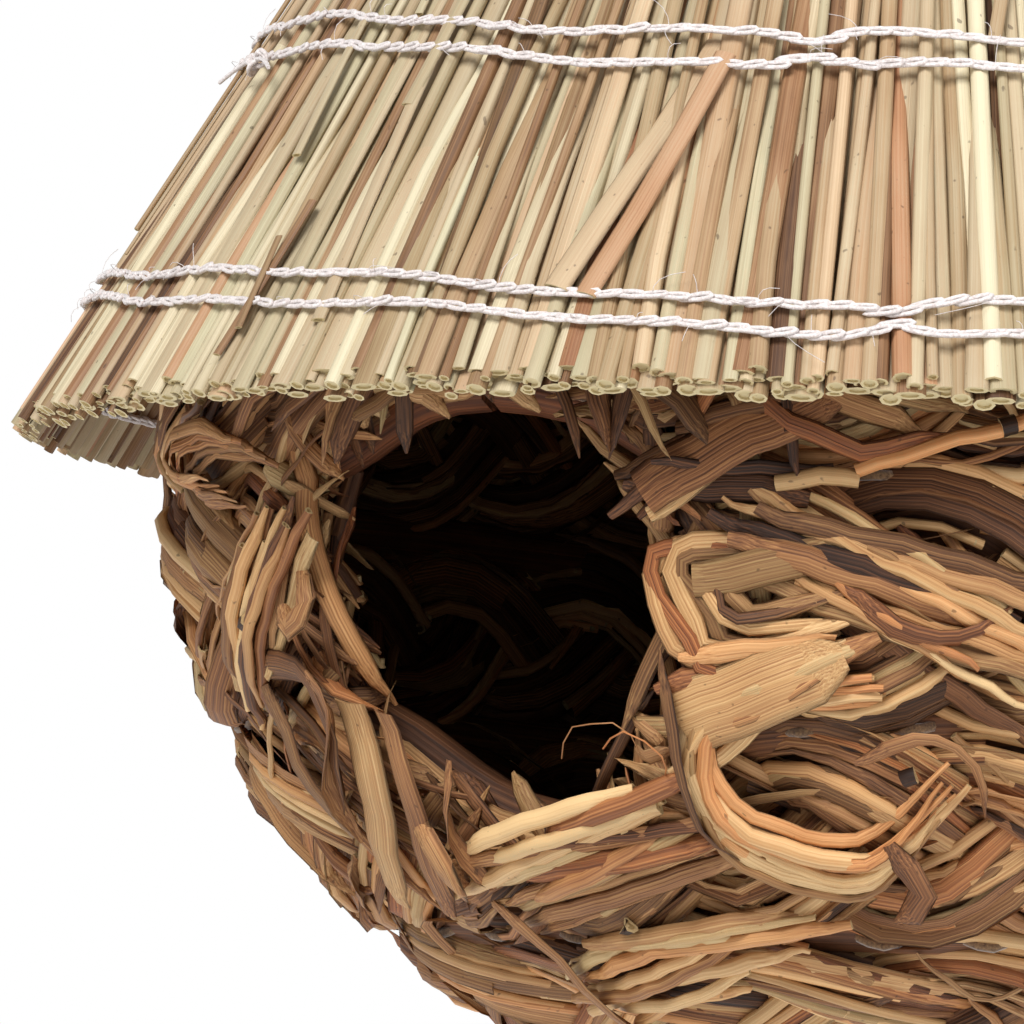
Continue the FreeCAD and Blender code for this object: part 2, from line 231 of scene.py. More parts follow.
class Guides:
    def __init__(self):
        self.points = []
        self.edges = []
        self.facing = []
        self.girth = []
        self.along = []
        self.tint = []
        self.grain = []
        self.dish = []

    def add(self, points, facing, girth, tint, dish=0.0):
        """Add one line; girth is a number or a list with a number for each point."""
        first = len(self.points)
        count = len(points)
        self.points += points
        self.facing += facing
        self.girth += girth if isinstance(girth, list) else [girth] * count
        self.edges += [(first + step, first + step + 1) for step in range(count - 1)]
        run_length = 0.0
        for step in range(count):
            if step:
                run_length += (points[step] - points[step - 1]).length
            self.along.append(run_length)
        self.tint += [tint] * count
        self.grain += [float(len(self.edges) % 997)] * count
        self.dish += [dish] * count

    def to_object(self, name):
        mesh = bpy.data.meshes.new(name)
        mesh.from_pydata(self.points, self.edges, [])
        vectors = mesh.attributes.new("facing", "FLOAT_VECTOR", "POINT")
        vectors.data.foreach_set("vector", [value for vector in self.facing for value in vector])
        for label in ("girth", "along", "tint", "grain", "dish"):
            attribute = mesh.attributes.new(label, "FLOAT", "POINT")
            attribute.data.foreach_set("value", getattr(self, label))
        thing = bpy.data.objects.new(name, mesh)
        bpy.context.scene.collection.objects.link(thing)
        return thing


def twist(facing, points, begin, finish):
    """Turn a strip about its own line, from one angle at its beginning to another at its end."""
    last = len(points) - 1
    for step in range(last + 1):
        ahead = points[min(step + 1, last)] - points[max(step - 1, 0)]
        angle = begin + (finish - begin) * step / last
        facing[step] = Quaternion(ahead.normalized(), angle) @ facing[step]


def tapered(girth, count, start=1.0, end=1.0, tip=0.25):
    """Widths along a strip that narrow towards each end over a share of its length."""
    widths = []
    for step in range(count):
        share = step / (count - 1)
        at_start = start + (1 - start) * smooth(share / tip)
        at_end = end + (1 - end) * smooth((1 - share) / tip)
        narrow = min(at_start, at_end)
        widths.append(girth * narrow)
    return widths


# %% [markdown]
# One tree sweeps them all. Its cross-section is a circle squeezed to a width and a thickness, so the same
# tree makes round straws and flat leaf. After the sweep, each point moves along the strip's facing by the
# dish, which bends a flat strip into a gutter. A cut straw is a tube, so its end caps are shrunk and pushed
# in.

# %% Node helpers


def add_node(tree, kind, sockets=None, **settings):
    """Add a node, set its options, and fill or link its inputs."""
    made = tree.nodes.new(kind)
    for name, value in settings.items():
        setattr(made, name, value)
    for key, value in (sockets or {}).items():
        if isinstance(value, bpy.types.NodeSocket):
            tree.links.new(value, made.inputs[key])
        else:
            made.inputs[key].default_value = value
    return made


def calculate(tree, operation, *values):
    """A math node's result."""
    return add_node(tree, "ShaderNodeMath", dict(enumerate(values)), operation=operation).outputs[0]


def scaled(tree, vector, factor):
    """A vector times a number."""
    sockets = {"Vector": vector, "Scale": factor}
    return add_node(tree, "ShaderNodeVectorMath", sockets, operation="SCALE").outputs["Vector"]


def stored(tree, name, kind="FLOAT"):
    """The value of a named attribute, in a geometry tree."""
    return add_node(tree, "GeometryNodeInputNamedAttribute", {"Name": name}, data_type=kind).outputs[0]


def new_tree(name, inputs):
    """An empty geometry tree with the inputs named."""
    tree = bpy.data.node_groups.new(name, "GeometryNodeTree")
    tree.interface.new_socket("Geometry", in_out="INPUT", socket_type="NodeSocketGeometry")
    for label, kind in inputs.items():
        tree.interface.new_socket(label, in_out="INPUT", socket_type=kind)
    tree.interface.new_socket("Geometry", in_out="OUTPUT", socket_type="NodeSocketGeometry")
    return tree, add_node(tree, "NodeGroupInput").outputs


def finish_tree(tree, geometry, material):
    realized = add_node(tree, "GeometryNodeRealizeInstances", {"Geometry": geometry}).outputs[0]
    painted = add_node(tree, "GeometryNodeSetMaterial", {"Geometry": realized, "Material": material})
    smooth_shaded = add_node(tree, "GeometryNodeSetShadeSmooth", {"Geometry": painted.outputs[0]})
    add_node(tree, "NodeGroupOutput", {"Geometry": smooth_shaded.outputs[0]})


# %% The sweeping tree


def make_sweep_tree():
    """Sweep a squeezed circle along every guide, dish it, and bore the cut ends."""
    inputs = {
        "Sides": "NodeSocketInt",
        "Width": "NodeSocketFloat",
        "Thickness": "NodeSocketFloat",
        "Bore": "NodeSocketFloat",
        "Bore Depth": "NodeSocketFloat",
        "Material": "NodeSocketMaterial",
    }
    tree, given = new_tree("sweep strips along guides", inputs)
    lines = add_node(tree, "GeometryNodeMeshToCurve", {"Mesh": given["Geometry"]}).outputs[0]
    facing = stored(tree, "facing", "FLOAT_VECTOR")
    turned = add_node(tree, "GeometryNodeSetCurveNormal", {"Curve": lines, "Normal": facing}, mode="FREE")
    circle = add_node(
        tree, "GeometryNodeCurvePrimitiveCircle", {"Resolution": given["Sides"], "Radius": 1.0}, mode="RADIUS"
    )
    place = add_node(tree, "GeometryNodeInputPosition").outputs[0]
    marked = add_node(
        tree,
        "GeometryNodeStoreNamedAttribute",
        {"Geometry": circle.outputs[0], "Name": "section", "Value": place},
        data_type="FLOAT_VECTOR",
    )
    sockets = {"X": given["Thickness"], "Y": given["Width"]}
    squeeze = add_node(tree, "ShaderNodeCombineXYZ", sockets).outputs[0]
    squeezed = add_node(tree, "ShaderNodeVectorMath", {0: place, 1: squeeze}, operation="MULTIPLY").outputs[0]
    section = add_node(tree, "GeometryNodeSetPosition", {"Geometry": marked.outputs[0], "Position": squeezed})
    swept = add_node(
        tree,
        "GeometryNodeCurveToMesh",
        {
            "Curve": turned.outputs[0],
            "Profile Curve": section.outputs[0],
            "Scale": stored(tree, "girth"),
            "Fill Caps": True,
        },
    )
    sockets = {0: stored(tree, "section", "FLOAT_VECTOR")}
    across = add_node(tree, "ShaderNodeSeparateXYZ", sockets).outputs["Y"]
    bend = calculate(tree, "SUBTRACT", calculate(tree, "MULTIPLY", across, across), 0.4)
    bend = calculate(tree, "MULTIPLY", bend, stored(tree, "girth"))
    depth = calculate(tree, "MULTIPLY", bend, stored(tree, "dish"))
    dished = add_node(
        tree, "GeometryNodeSetPosition", {"Geometry": swept.outputs[0], "Offset": scaled(tree, facing, depth)}
    )
    corners = add_node(tree, "GeometryNodeInputMeshFaceNeighbors").outputs["Vertex Count"]
    open_end = add_node(
        tree, "FunctionNodeCompare", {2: corners, 3: 4}, data_type="INT", operation="GREATER_THAN"
    ).outputs[0]
    sockets = {0: given["Bore"], 1: 0.0}
    has_bore = add_node(tree, "FunctionNodeCompare", sockets, operation="GREATER_THAN").outputs[0]
    sockets = {0: open_end, 1: has_bore}
    bored = add_node(tree, "FunctionNodeBooleanMath", sockets, operation="AND").outputs[0]
    rim = add_node(
        tree, "GeometryNodeExtrudeMesh", {"Mesh": dished.outputs[0], "Selection": bored, "Offset Scale": 0.0}
    )
    sockets = {0: rim.outputs["Side"], 1: rim.outputs["Top"]}
    fresh = add_node(tree, "FunctionNodeBooleanMath", sockets, operation="OR").outputs[0]
    ringed = add_node(
        tree,
        "GeometryNodeStoreNamedAttribute",
        {"Geometry": rim.outputs["Mesh"], "Selection": fresh, "Name": "cut", "Value": 1.0},
        domain="FACE",
    )
    shrunk = add_node(
        tree,
        "GeometryNodeScaleElements",
        {"Geometry": ringed.outputs[0], "Selection": rim.outputs["Top"], "Scale": given["Bore"]},
    )
    pushed = add_node(
        tree,
        "GeometryNodeExtrudeMesh",
        {
            "Mesh": shrunk.outputs[0],
            "Selection": rim.outputs["Top"],
            "Offset Scale": calculate(tree, "MULTIPLY", given["Bore Depth"], -1.0),
        },
    )
    finish_tree(tree, pushed.outputs["Mesh"], given["Material"])
    return tree


SWEEP = make_sweep_tree()
print("sweeping tree:", len(SWEEP.nodes), "nodes")

# %% Run a tree and keep its mesh


def set_input(modifier, label, value):
    """Set one of a tree's inputs, which a modifier keeps under the socket's identifier."""
    for item in modifier.node_group.interface.items_tree:
        if item.item_type == "SOCKET" and item.in_out == "INPUT" and item.name == label:
            modifier[item.identifier] = value


def baked(thing, tree, **sizes):
    """Put a tree on an object, keep its result as a plain mesh, and take the tree away."""
    modifier = thing.modifiers.new("nodes", "NODES")
    modifier.node_group = tree
    for label, value in sizes.items():
        set_input(modifier, label.replace("_", " "), value)
    bpy.context.view_layer.update()
    evaluated = thing.evaluated_get(bpy.context.evaluated_depsgraph_get())
    result = bpy.data.meshes.new_from_object(evaluated)
    thing.modifiers.remove(modifier)
    thing.data = result
    result.name = thing.name
    triangles = sum(len(face.vertices) - 2 for face in result.polygons)
    print(f"{thing.name}: {triangles} triangles")
    return thing


def sweep(name, guides, material, sides=8, width=1.0, thickness=1.0, bore=0.0, bore_depth=1.2 * MM):
    """Sweep a cross-section along a set of guides; a bore leaves the cut ends hollow."""
    sizes = {"Sides": sides, "Width": width, "Thickness": thickness, "Bore": bore, "Bore_Depth": bore_depth}
    return baked(guides.to_object(name), SWEEP, Material=material, **sizes)


# %% [markdown]
# Dry leaf and straw get their look from their fibres. The sweep leaves three things on every point of a
# strip: where it lies on the cross-section, how far along it lies, and the strip's own tint and grain. A
# noise that is squeezed across the strip and stretched along it turns these into veins, and the same noise
# lifts the surface.

# %% Helpers for materials


def rgb(red, green, blue):
    """A colour as seen on a screen, turned into the linear numbers that a shader takes."""
    linear = [
        (value / 255 / 12.92) if value <= 10 else ((value / 255 + 0.055) / 1.055) ** 2.4
        for value in (red, green, blue)
    ]
    return (*linear, 1.0)


def colour_ramp(tree, value, stops):
    ramp = add_node(tree, "ShaderNodeValToRGB", {"Fac": value})
    elements = ramp.color_ramp.elements
    while len(elements) < len(stops):
        elements.new(0.5)
    for element, (position, colour) in zip(elements, stops):
        element.position = position
        element.color = colour
    return ramp.outputs["Color"]


def attribute(tree, name):
    return add_node(tree, "ShaderNodeAttribute", attribute_name=name).outputs


def mixed(tree, factor, first, second, blend="MIX"):
    made = add_node(tree, "ShaderNodeMix", data_type="RGBA", blend_type=blend)
    for place, value in ((0, factor), (6, first), (7, second)):
        if isinstance(value, bpy.types.NodeSocket):
            tree.links.new(value, made.inputs[place])
        else:
            made.inputs[place].default_value = value
    return made.outputs[2]


def new_material(name):
    material = bpy.data.materials.new(name)
    material.use_nodes = True
    tree = material.node_tree
    tree.nodes.clear()
    shader = add_node(tree, "ShaderNodeBsdfPrincipled")
    add_node(tree, "ShaderNodeOutputMaterial", {"Surface": shader.outputs[0]})
    return material, tree, shader


def fibre_place(tree, across_scale, along_scale):
    """A point in fibre space: round the section in the first two axes, and along the strip in the third."""
    section = scaled(tree, attribute(tree, "section")["Vector"], attribute(tree, "girth")["Fac"])
    around = scaled(tree, section, across_scale)
    along = calculate(tree, "MULTIPLY", attribute(tree, "along")["Fac"], along_scale)
    grain = calculate(tree, "MULTIPLY", attribute(tree, "grain")["Fac"], 7.31)
    lengthways = add_node(tree, "ShaderNodeCombineXYZ", {"X": grain, "Y": grain, "Z": along}).outputs[0]
    return add_node(tree, "ShaderNodeVectorMath", {0: around, 1: lengthways}, operation="ADD").outputs[0]


def noise(tree, vector, scale, detail=3.0, roughness=0.55):
    sockets = {"Vector": vector, "Scale": scale, "Detail": detail, "Roughness": roughness}
    return add_node(tree, "ShaderNodeTexNoise", sockets).outputs["Fac"]


def spread(tree, value, low, high):
    """Stretch a value so that low becomes 0 and high becomes 1."""
    sockets = {"Value": value, "From Min": low, "From Max": high}
    return add_node(tree, "ShaderNodeMapRange", sockets).outputs[0]


# %% One material for everything fibrous
RIB_PITCH = 0.5 * MM


def make_fibre_material(
    name, stops, hues, vein=0.12, vein_pitch=0.5 * MM, roughness=0.55, relief=0.12 * MM, rib=0.0, cut=None
):
    """Dry plant fibre: a tint from the strip, ribs and veins along it, blotches, specks and pale cut ends."""
    material, tree, shader = new_material(name)
    streaks = noise(tree, fibre_place(tree, 1 / vein_pitch, 18.0), 1.0, 4.0)
    across = add_node(tree, "ShaderNodeSeparateXYZ", {0: attribute(tree, "section")["Vector"]}).outputs["Y"]
    width = calculate(tree, "MULTIPLY", across, attribute(tree, "girth")["Fac"])
    phase = calculate(tree, "MULTIPLY", width, 2 * math.pi / RIB_PITCH)
    wave = calculate(tree, "SINE", calculate(tree, "ADD", phase, calculate(tree, "MULTIPLY", streaks, 5.0)))
    veins = calculate(tree, "ADD", streaks, calculate(tree, "MULTIPLY", wave, rib))
    blotches = noise(tree, fibre_place(tree, 160.0, 45.0), 1.0, 3.0)
    lift = calculate(tree, "MULTIPLY", calculate(tree, "SUBTRACT", blotches, 0.5), 0.45)
    grain = calculate(tree, "MULTIPLY", calculate(tree, "SUBTRACT", veins, 0.5), vein * 4)
    tone = calculate(tree, "ADD", calculate(tree, "ADD", attribute(tree, "tint")["Fac"], lift), grain)
    seed = {"W": attribute(tree, "grain")["Fac"]}
    own = add_node(tree, "ShaderNodeTexWhiteNoise", seed, noise_dimensions="1D")
    hue = colour_ramp(tree, own.outputs["Value"], hues)
    colour = mixed(tree, 1.0, colour_ramp(tree, tone, stops), hue, "MULTIPLY")
    specks = spread(tree, noise(tree, fibre_place(tree, 900.0, 700.0), 1.0, 1.0), 0.73, 0.78)
    colour = mixed(tree, calculate(tree, "MULTIPLY", specks, 0.55), colour, rgb(62, 40, 26))
    if cut:
        colour = mixed(tree, attribute(tree, "cut")["Fac"], colour, cut)
    tree.links.new(colour, shader.inputs["Base Color"])
    shader.inputs["Specular IOR Level"].default_value = 0.35
    rough = calculate(tree, "ADD", calculate(tree, "MULTIPLY", veins, 0.25), roughness - 0.12)
    tree.links.new(rough, shader.inputs["Roughness"])
    bump = add_node(tree, "ShaderNodeBump", {"Strength": 1.0, "Distance": relief, "Height": veins})
    tree.links.new(bump.outputs[0], shader.inputs["Normal"])
    return material


# %% Colours of leaf, stem and straw
LEAF_STOPS = [
    (0.0, rgb(52, 34, 24)),
    (0.18, rgb(98, 66, 46)),
    (0.36, rgb(142, 100, 68)),
    (0.54, rgb(182, 138, 94)),
    (0.74, rgb(213, 175, 124)),
    (1.0, rgb(242, 216, 166)),
]
STRAW_STOPS = [
    (0.0, rgb(82, 54, 35)),
    (0.2, rgb(143, 107, 76)),
    (0.42, rgb(179, 150, 116)),
    (0.62, rgb(190, 171, 142)),
    (0.82, rgb(202, 189, 159)),
    (1.0, rgb(226, 216, 187)),
]
STRAW_HUES = [
    (0.0, rgb(232, 236, 226)),
    (0.3, rgb(248, 245, 240)),
    (0.65, rgb(255, 252, 246)),
    (0.85, rgb(255, 236, 224)),
    (1.0, rgb(255, 218, 204)),
]
LEAF_HUES = [
    (0.0, rgb(204, 200, 186)),
    (0.35, rgb(238, 224, 214)),
    (0.75, rgb(255, 240, 226)),
    (1.0, rgb(255, 208, 180)),
]
leaf_material = make_fibre_material(
    "dry maize leaf", LEAF_STOPS, LEAF_HUES, vein=0.24, vein_pitch=0.2 * MM, relief=0.2 * MM, rib=0.07
)
stem_material = make_fibre_material(
    "dry stem",
    LEAF_STOPS,
    LEAF_HUES,
    vein=0.2,
    vein_pitch=0.25 * MM,
    roughness=0.48,
    rib=0.04,
    cut=rgb(206, 178, 130),
)
straw_material = make_fibre_material(
    "straw",
    STRAW_STOPS,
    STRAW_HUES,
    vein=0.13,
    vein_pitch=0.2 * MM,
    roughness=0.5,
    relief=0.1 * MM,
    rib=0.04,
    cut=rgb(222, 204, 158),
)
# Only the darkest leaf colours: painted shade for the strands' hearts, the coil hearts and the grooves.
shade_dark_core_material = make_fibre_material("packed leaf painted as shade", LEAF_STOPS[:3], LEAF_HUES, vein=0.2, relief=0.3 * MM)
print("fibre materials:", [material.name for material in bpy.data.materials])

# %% [markdown]
# The roof's outer mat is four hundred straws side by side. A second layer fills its gaps, and the inner mat
# is a third. A straw narrows towards the neck, but the cone narrows faster, so there is room on top for
# fewer straws the higher it gets. Each straw has a rank: where the straws of its rank no longer fit, it
# sinks under its neighbours and soon ends. Steps of the golden ratio share the ranks out, so that the long
# straws stand evenly round the cone. A few straws lie askew, some are flattened, and the cut ends at the
# eave are never quite level.

# %% One straw of the roof
random_straw = random.Random(31)
STRAW_GIRTH = 1.15 * MM
STRAW_SPACING = 1.5
LOWEST_TOP = 25 * MM
TUCKED_UNDER = 45 * MM
REACHES_NECK = 165 * MM
GATHER_BELOW = 16 * MM
TUFT_FLARE = 0.32
NECK_RADIUS = 13 * MM
neck_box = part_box("neck_binding")
neck_height = (neck_box[0][2] + neck_box[1][2]) / 2
tuft_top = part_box("outer_straw_mat")[1][2]


def straw_point(around, up_slope, out):
    """A point of a straw: on the cone below, then bunched at the neck, then flaring in the tuft."""
    point = on_the_roof(around, up_slope, out)
    radius = math.hypot(point.x, point.y)
    gather = smooth((point.z - (neck_height - GATHER_BELOW)) / (12 * MM))
    waist = NECK_RADIUS + out
    flare = max(point.z - neck_height - 4 * MM, 0) * TUFT_FLARE
    wanted = radius * (1 - gather) + (waist + flare) * gather
    return out_from_wire(around) * wanted + UP * point.z


def lay_straw(
    guides,
    around,
    rank,
    out,
    lean=0.0,
    girth=STRAW_GIRTH,
    tint=0.5,
    start=0.0,
    stop=None,
    layers=400,
    sink=0.0,
):
    """One straw from the eave upwards, as far as there is room for it."""
    room_radius = rank * layers * girth * STRAW_SPACING / math.pi
    room_ends = max((EAVE_RADIUS - room_radius) / -SLOPE[0], LOWEST_TOP)
    to_the_tuft = room_ends > REACHES_NECK
    top = stop or (1 if to_the_tuft else room_ends + TUCKED_UNDER)
    top = min(top, (tuft_top - EAVE_HEIGHT) / SLOPE[1] - random_straw.uniform(0, 9) * MM)
    steps = max(int((top - start) / (15 * MM)), 3)
    wave, wave_size = random_straw.uniform(0, 6.3), random_straw.uniform(0.0, 0.22)
    points, facing, widths = [], [], []
    for step in range(steps + 1):
        share = step / steps
        up_slope = start + (top - start) * share
        sunk = 0 if to_the_tuft else sink * smooth((up_slope - room_ends) / (30 * MM))
        sway = wave_size * math.sin(wave + 5 * share) * min(1, 40 * MM / (up_slope + 10 * MM))
        angle = around + sway + lean * (up_slope - start) / (60 * MM)
        points.append(straw_point(angle, up_slope, out - sunk))
        facing.append(roof_outward(angle))
        widths.append(girth * (1 - 0.42 * min(up_slope / (190 * MM), 1)))
    guides.add(points, facing, widths, tint)


# %% A mat of straws
EVEN_TURN = 0.618034


def straw_tint(source, brown_and_shade_share):
    """Mostly pale straws, with some brown ones."""
    return source.uniform(0.02, 0.3) if source.random() < brown_and_shade_share else source.gauss(0.62, 0.17)


def make_mat(name, count, out, depth, seed, brown_and_shade_share, gap_at=None, sink=2.2 * MM):
    """A layer of straws as two pieces: round ones, and flattened ones."""
    source = random.Random(seed)
    round_ones, flat_ones = Guides(), Guides()
    for place in range(count):
        rank = (place * EVEN_TURN) % 1
        around = (place + source.uniform(-0.3, 0.3)) * 360 / count
        if gap_at is not None and abs((around - gap_at + 180) % 360 - 180) < 0.75:
            continue
        girth = STRAW_GIRTH * source.uniform(0.62, 1.3)
        flattened = source.random() < 0.45
        lay_straw(
            flat_ones if flattened else round_ones,
            around,
            rank,
            out - source.uniform(0, depth),
            lean=source.gauss(0, 0.75),
            girth=girth * (1.45 if flattened else 1),
            tint=straw_tint(source, brown_and_shade_share),
            start=source.uniform(0, 2.8) * MM,
            layers=count,
            sink=sink,
        )
    tubes = sweep(f"{name}_round", round_ones, straw_material, thickness=0.9, bore=0.68, bore_depth=0.35 * MM)
    flats = sweep(f"{name}_flat", flat_ones, straw_material, thickness=0.4, bore=0.6, bore_depth=0.3 * MM)
    return [tubes, flats]


# %% Lay the roof
CAMERA_AROUND = 37.0
stray, stray_source = Guides(), random.Random(12)
lay_straw(stray, 12.5, 0.3, 0.5 * MM, 9.5, 2.0 * MM, 0.66, 14 * MM, 56 * MM, sink=2.8 * MM)
lay_straw(stray, 14.6, 0.3, 0.4 * MM, 9, 1.7 * MM, 0.5, 13 * MM, 52 * MM, sink=2.8 * MM)
lay_straw(stray, -12, 0.3, 0.5 * MM, 3.5, 0.9 * MM, 0.22, 5 * MM, 30 * MM)
lay_straw(stray, -11, 0.3, 0.9 * MM, -3.5, 0.7 * MM, 0.3, 9 * MM, 24 * MM)
for _ in range(46):
    around, girth = stray_source.uniform(0, 360), stray_source.uniform(0.6, 1.3) * MM
    begin, lean = stray_source.uniform(0, 90) * MM, stray_source.gauss(0, 2.6)
    tint, out = stray_source.gauss(0.6, 0.15), stray_source.uniform(0, 0.4) * MM
    lay_straw(stray, around, 0.3, out, lean, girth, tint, begin, begin + stray_source.uniform(25, 70) * MM)
stray_straws = sweep("stray_straws", stray, straw_material, thickness=0.35, bore=0.6, bore_depth=0.3 * MM)
outer_mat = make_mat("outer_straws", 400, -1.0 * MM, 0.5 * MM, 5, 0.12, gap_at=CAMERA_AROUND + 0.3)
# The layers beneath take more brown straws than the outer mat: painted shade in its gaps and under the eave.
under_mat = make_mat("under_straws", 330, -2.2 * MM, 0.4 * MM, 6, 0.25, sink=0.9 * MM)
inner_mat = make_mat("inner_straws", 330, -3.5 * MM, 0.3 * MM, 7, 0.3, sink=0)
for piece in [stray_straws] + outer_mat + under_mat + inner_mat:
    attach(piece, "roof")
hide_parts("outer_straw_mat")
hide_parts("inner_straw_mat")

# %% [markdown]
# Rows of white cotton hold the straws together. Each row is a chain stitch: loops of soft yarn, each drawn
# through the one before. One loop is modelled and the tree sets it along the row, turned to follow the
# cone. The rows aren't quite level, because the mat was stitched flat and then bent round.

# %% One chain stitch, set along a row
YARN_RADIUS = 0.33 * MM
LINK_LENGTH = 3.0 * MM


def make_link_tree():
    """A pointed loop of yarn, repeated along each guide with a small random turn."""
    inputs = {
        "Length": "NodeSocketFloat",
        "Width": "NodeSocketFloat",
        "Yarn": "NodeSocketFloat",
        "Seed": "NodeSocketInt",
        "Material": "NodeSocketMaterial",
    }
    tree, given = new_tree("chain stitch along a row", inputs)
    lines = add_node(tree, "GeometryNodeMeshToCurve", {"Mesh": given["Geometry"]}).outputs[0]
    facing = stored(tree, "facing", "FLOAT_VECTOR")
    turned = add_node(tree, "GeometryNodeSetCurveNormal", {"Curve": lines, "Normal": facing}, mode="FREE")
    spaced = add_node(
        tree,
        "GeometryNodeCurveToPoints",
        {"Curve": turned.outputs[0], "Length": given["Length"]},
        mode="LENGTH",
    )
    sockets = {"Resolution": 10, "Radius": 0.5}
    ring = add_node(tree, "GeometryNodeCurvePrimitiveCircle", sockets, mode="RADIUS")
    place = add_node(tree, "GeometryNodeInputPosition").outputs[0]
    parts = add_node(tree, "ShaderNodeSeparateXYZ", {0: place}).outputs
    long = calculate(tree, "MULTIPLY", calculate(tree, "MULTIPLY", parts["X"], given["Length"]), 1.55)
    point_width = calculate(tree, "ADD", calculate(tree, "MULTIPLY", parts["X"], 0.7), 0.75)
    wide = calculate(tree, "MULTIPLY", calculate(tree, "MULTIPLY", parts["Y"], point_width), given["Width"])
    high = calculate(tree, "MULTIPLY", parts["X"], given["Yarn"])
    shape = add_node(tree, "ShaderNodeCombineXYZ", {"X": high, "Y": wide, "Z": long}).outputs[0]
    loop = add_node(tree, "GeometryNodeSetPosition", {"Geometry": ring.outputs[0], "Position": shape})
    strand = add_node(
        tree, "GeometryNodeCurvePrimitiveCircle", {"Resolution": 5, "Radius": given["Yarn"]}, mode="RADIUS"
    )
    link = add_node(
        tree, "GeometryNodeCurveToMesh", {"Curve": loop.outputs[0], "Profile Curve": strand.outputs[0]}
    )
    turn = add_node(
        tree,
        "FunctionNodeRandomValue",
        {"Min": (-0.16, -0.12, -0.3), "Max": (0.16, 0.12, 0.3), "Seed": given["Seed"]},
        data_type="FLOAT_VECTOR",
    )
    wobble = add_node(tree, "FunctionNodeEulerToRotation", {0: turn.outputs[0]}).outputs[0]
    heading = add_node(
        tree,
        "FunctionNodeAxesToRotation",
        {"Primary Axis": spaced.outputs["Tangent"], "Secondary Axis": spaced.outputs["Normal"]},
        primary_axis="Z",
        secondary_axis="X",
    ).outputs[0]
    turned_link = add_node(
        tree, "FunctionNodeRotateRotation", {"Rotation": heading, "Rotate By": wobble}, rotation_space="LOCAL"
    )
    placed = add_node(
        tree,
        "GeometryNodeInstanceOnPoints",
        {"Points": spaced.outputs["Points"], "Instance": link.outputs[0], "Rotation": turned_link.outputs[0]},
    )
    finish_tree(tree, placed.outputs[0], given["Material"])
    return tree


CHAIN = make_link_tree()
print("chain stitch tree:", len(CHAIN.nodes), "nodes")

# %% Cotton yarn


def make_yarn_material(name, colour, shade):
    """Soft cotton: pale, matt and fuzzy, with a fine twist that shows as light and dark flecks."""
    material, tree, shader = new_material(name)
    where = add_node(tree, "ShaderNodeTexCoord").outputs["Object"]
    flecks = noise(tree, where, 2600.0, 4.0, 0.65)
    tree.links.new(mixed(tree, spread(tree, flecks, 0.35, 0.7), shade, colour), shader.inputs["Base Color"])
    shader.inputs["Roughness"].default_value = 0.95
    shader.inputs["Sheen Weight"].default_value = 0.6
    shader.inputs["Sheen Roughness"].default_value = 0.5
    bump = add_node(tree, "ShaderNodeBump", {"Strength": 0.8, "Distance": 0.1 * MM, "Height": flecks})
    tree.links.new(bump.outputs[0], shader.inputs["Normal"])
    return material


yarn_material = make_yarn_material("white cotton", rgb(246, 240, 238), rgb(205, 192, 188))


# %% Rows of stitches
ROW_WANDER = 12 * MM
STITCHED_DEEP = 1.1 * MM


def row_up_slope(number, around):
    """How far up the slope a row runs: it climbs on two sides, and at one place each pair touches."""
    partner = row_places[number - 2 if number % 2 == 0 else number]
    pinch_at = 34 - 7 * ((number - 1) // 2)
    off_pinch = ((around - pinch_at + 180) % 360 - 180) / 1.6
    base = row_places[number - 1]
    base += (partner - base) * 0.44 * math.exp(-(off_pinch**2))
    climb = ROW_WANDER * (1 - base / (500 * MM)) * math.sin(math.radians(around - 33)) ** 2 - STITCHED_DEEP
    slow = 0.7 * MM * math.sin(math.radians(around * 7 + 60 * number))
    quick = 0.4 * MM * math.sin(math.radians(around * 19 + 40 * number))
    return base + climb + (slow + quick)


def make_row(number):
    source = random.Random(100 + number)
    lines = Guides()
    for out in (0.45 * MM, -5.1 * MM):
        points, facing = [], []
        for step in range(181):
            around = step * 2.0
            bump = source.uniform(-0.1, 0.12) * MM
            up_slope = row_up_slope(number, around) if out > 0 else row_places[number - 1]
            points.append(on_the_roof(around, up_slope, out + bump))
            facing.append(roof_outward(around))
        lines.add(points, facing, YARN_RADIUS, 0.5)
    row = lines.to_object(f"thread_chain_{number}")
    baked(
        row,
        CHAIN,
        Length=LINK_LENGTH,
        Width=0.95 * MM,
        Yarn=YARN_RADIUS,
        Seed=number,
        Material=yarn_material,
    )
    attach(row, "roof")
    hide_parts(f"thread_row_{number}")


for number in range(1, 9):
    make_row(number)

# %% [markdown]
# Cotton is spun from short hairs, and some stand out of the yarn. A few hundred fine arcs along the rows
# are enough to take the hard edge off the thread.

# %% Fuzz on the thread
fuzz, fuzz_source = Guides(), random.Random(140)
for number in range(1, 9):
    for _ in range(round(row_circles[number - 1] / (9 * MM))):
        around = fuzz_source.uniform(0, 360)
        reach = fuzz_source.gauss(0, 2.2) * MM
        rise = fuzz_source.uniform(0.6, 1.6) * MM
        drift = fuzz_source.gauss(0, 1.2)
        points = []
        for step in range(5):
            share = step / 4
            up_slope = row_up_slope(number, around) + reach * share
            lift = 0.5 * MM + rise * math.sin(2.6 * share)
            points.append(on_the_roof(around + drift * share * share, up_slope, lift))
        fuzz.add(points, [roof_outward(around)] * 5, 0.055 * MM, 0.5)
hairs = sweep("thread_fuzz", fuzz, yarn_material, sides=3)
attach(hairs, "roof")

# %% [markdown]
# The plait is a flat one of three strands. In a flat plait every strand swings from edge to edge once a
# turn and dips under the others twice: a sine across the course and a sine of twice the speed through its
# thickness. Each strand is a bundle of torn leaf and stems that run along it, so strips are laid round the
# strand's oval section, most of them on the outside, where they show.

# %% Where a strand runs
PLAIT_TURN = 74 * MM
SWING = 11 * MM
DIP = 2.3 * MM
BUNDLE_WIDE = 7.3 * MM
BUNDLE_DEEP = 3.7 * MM
MOST_CROWDED = 1.75
STRAND_SLACK = 1.2
STRIP_LENGTH = 80 * MM
SNUG = 0.25


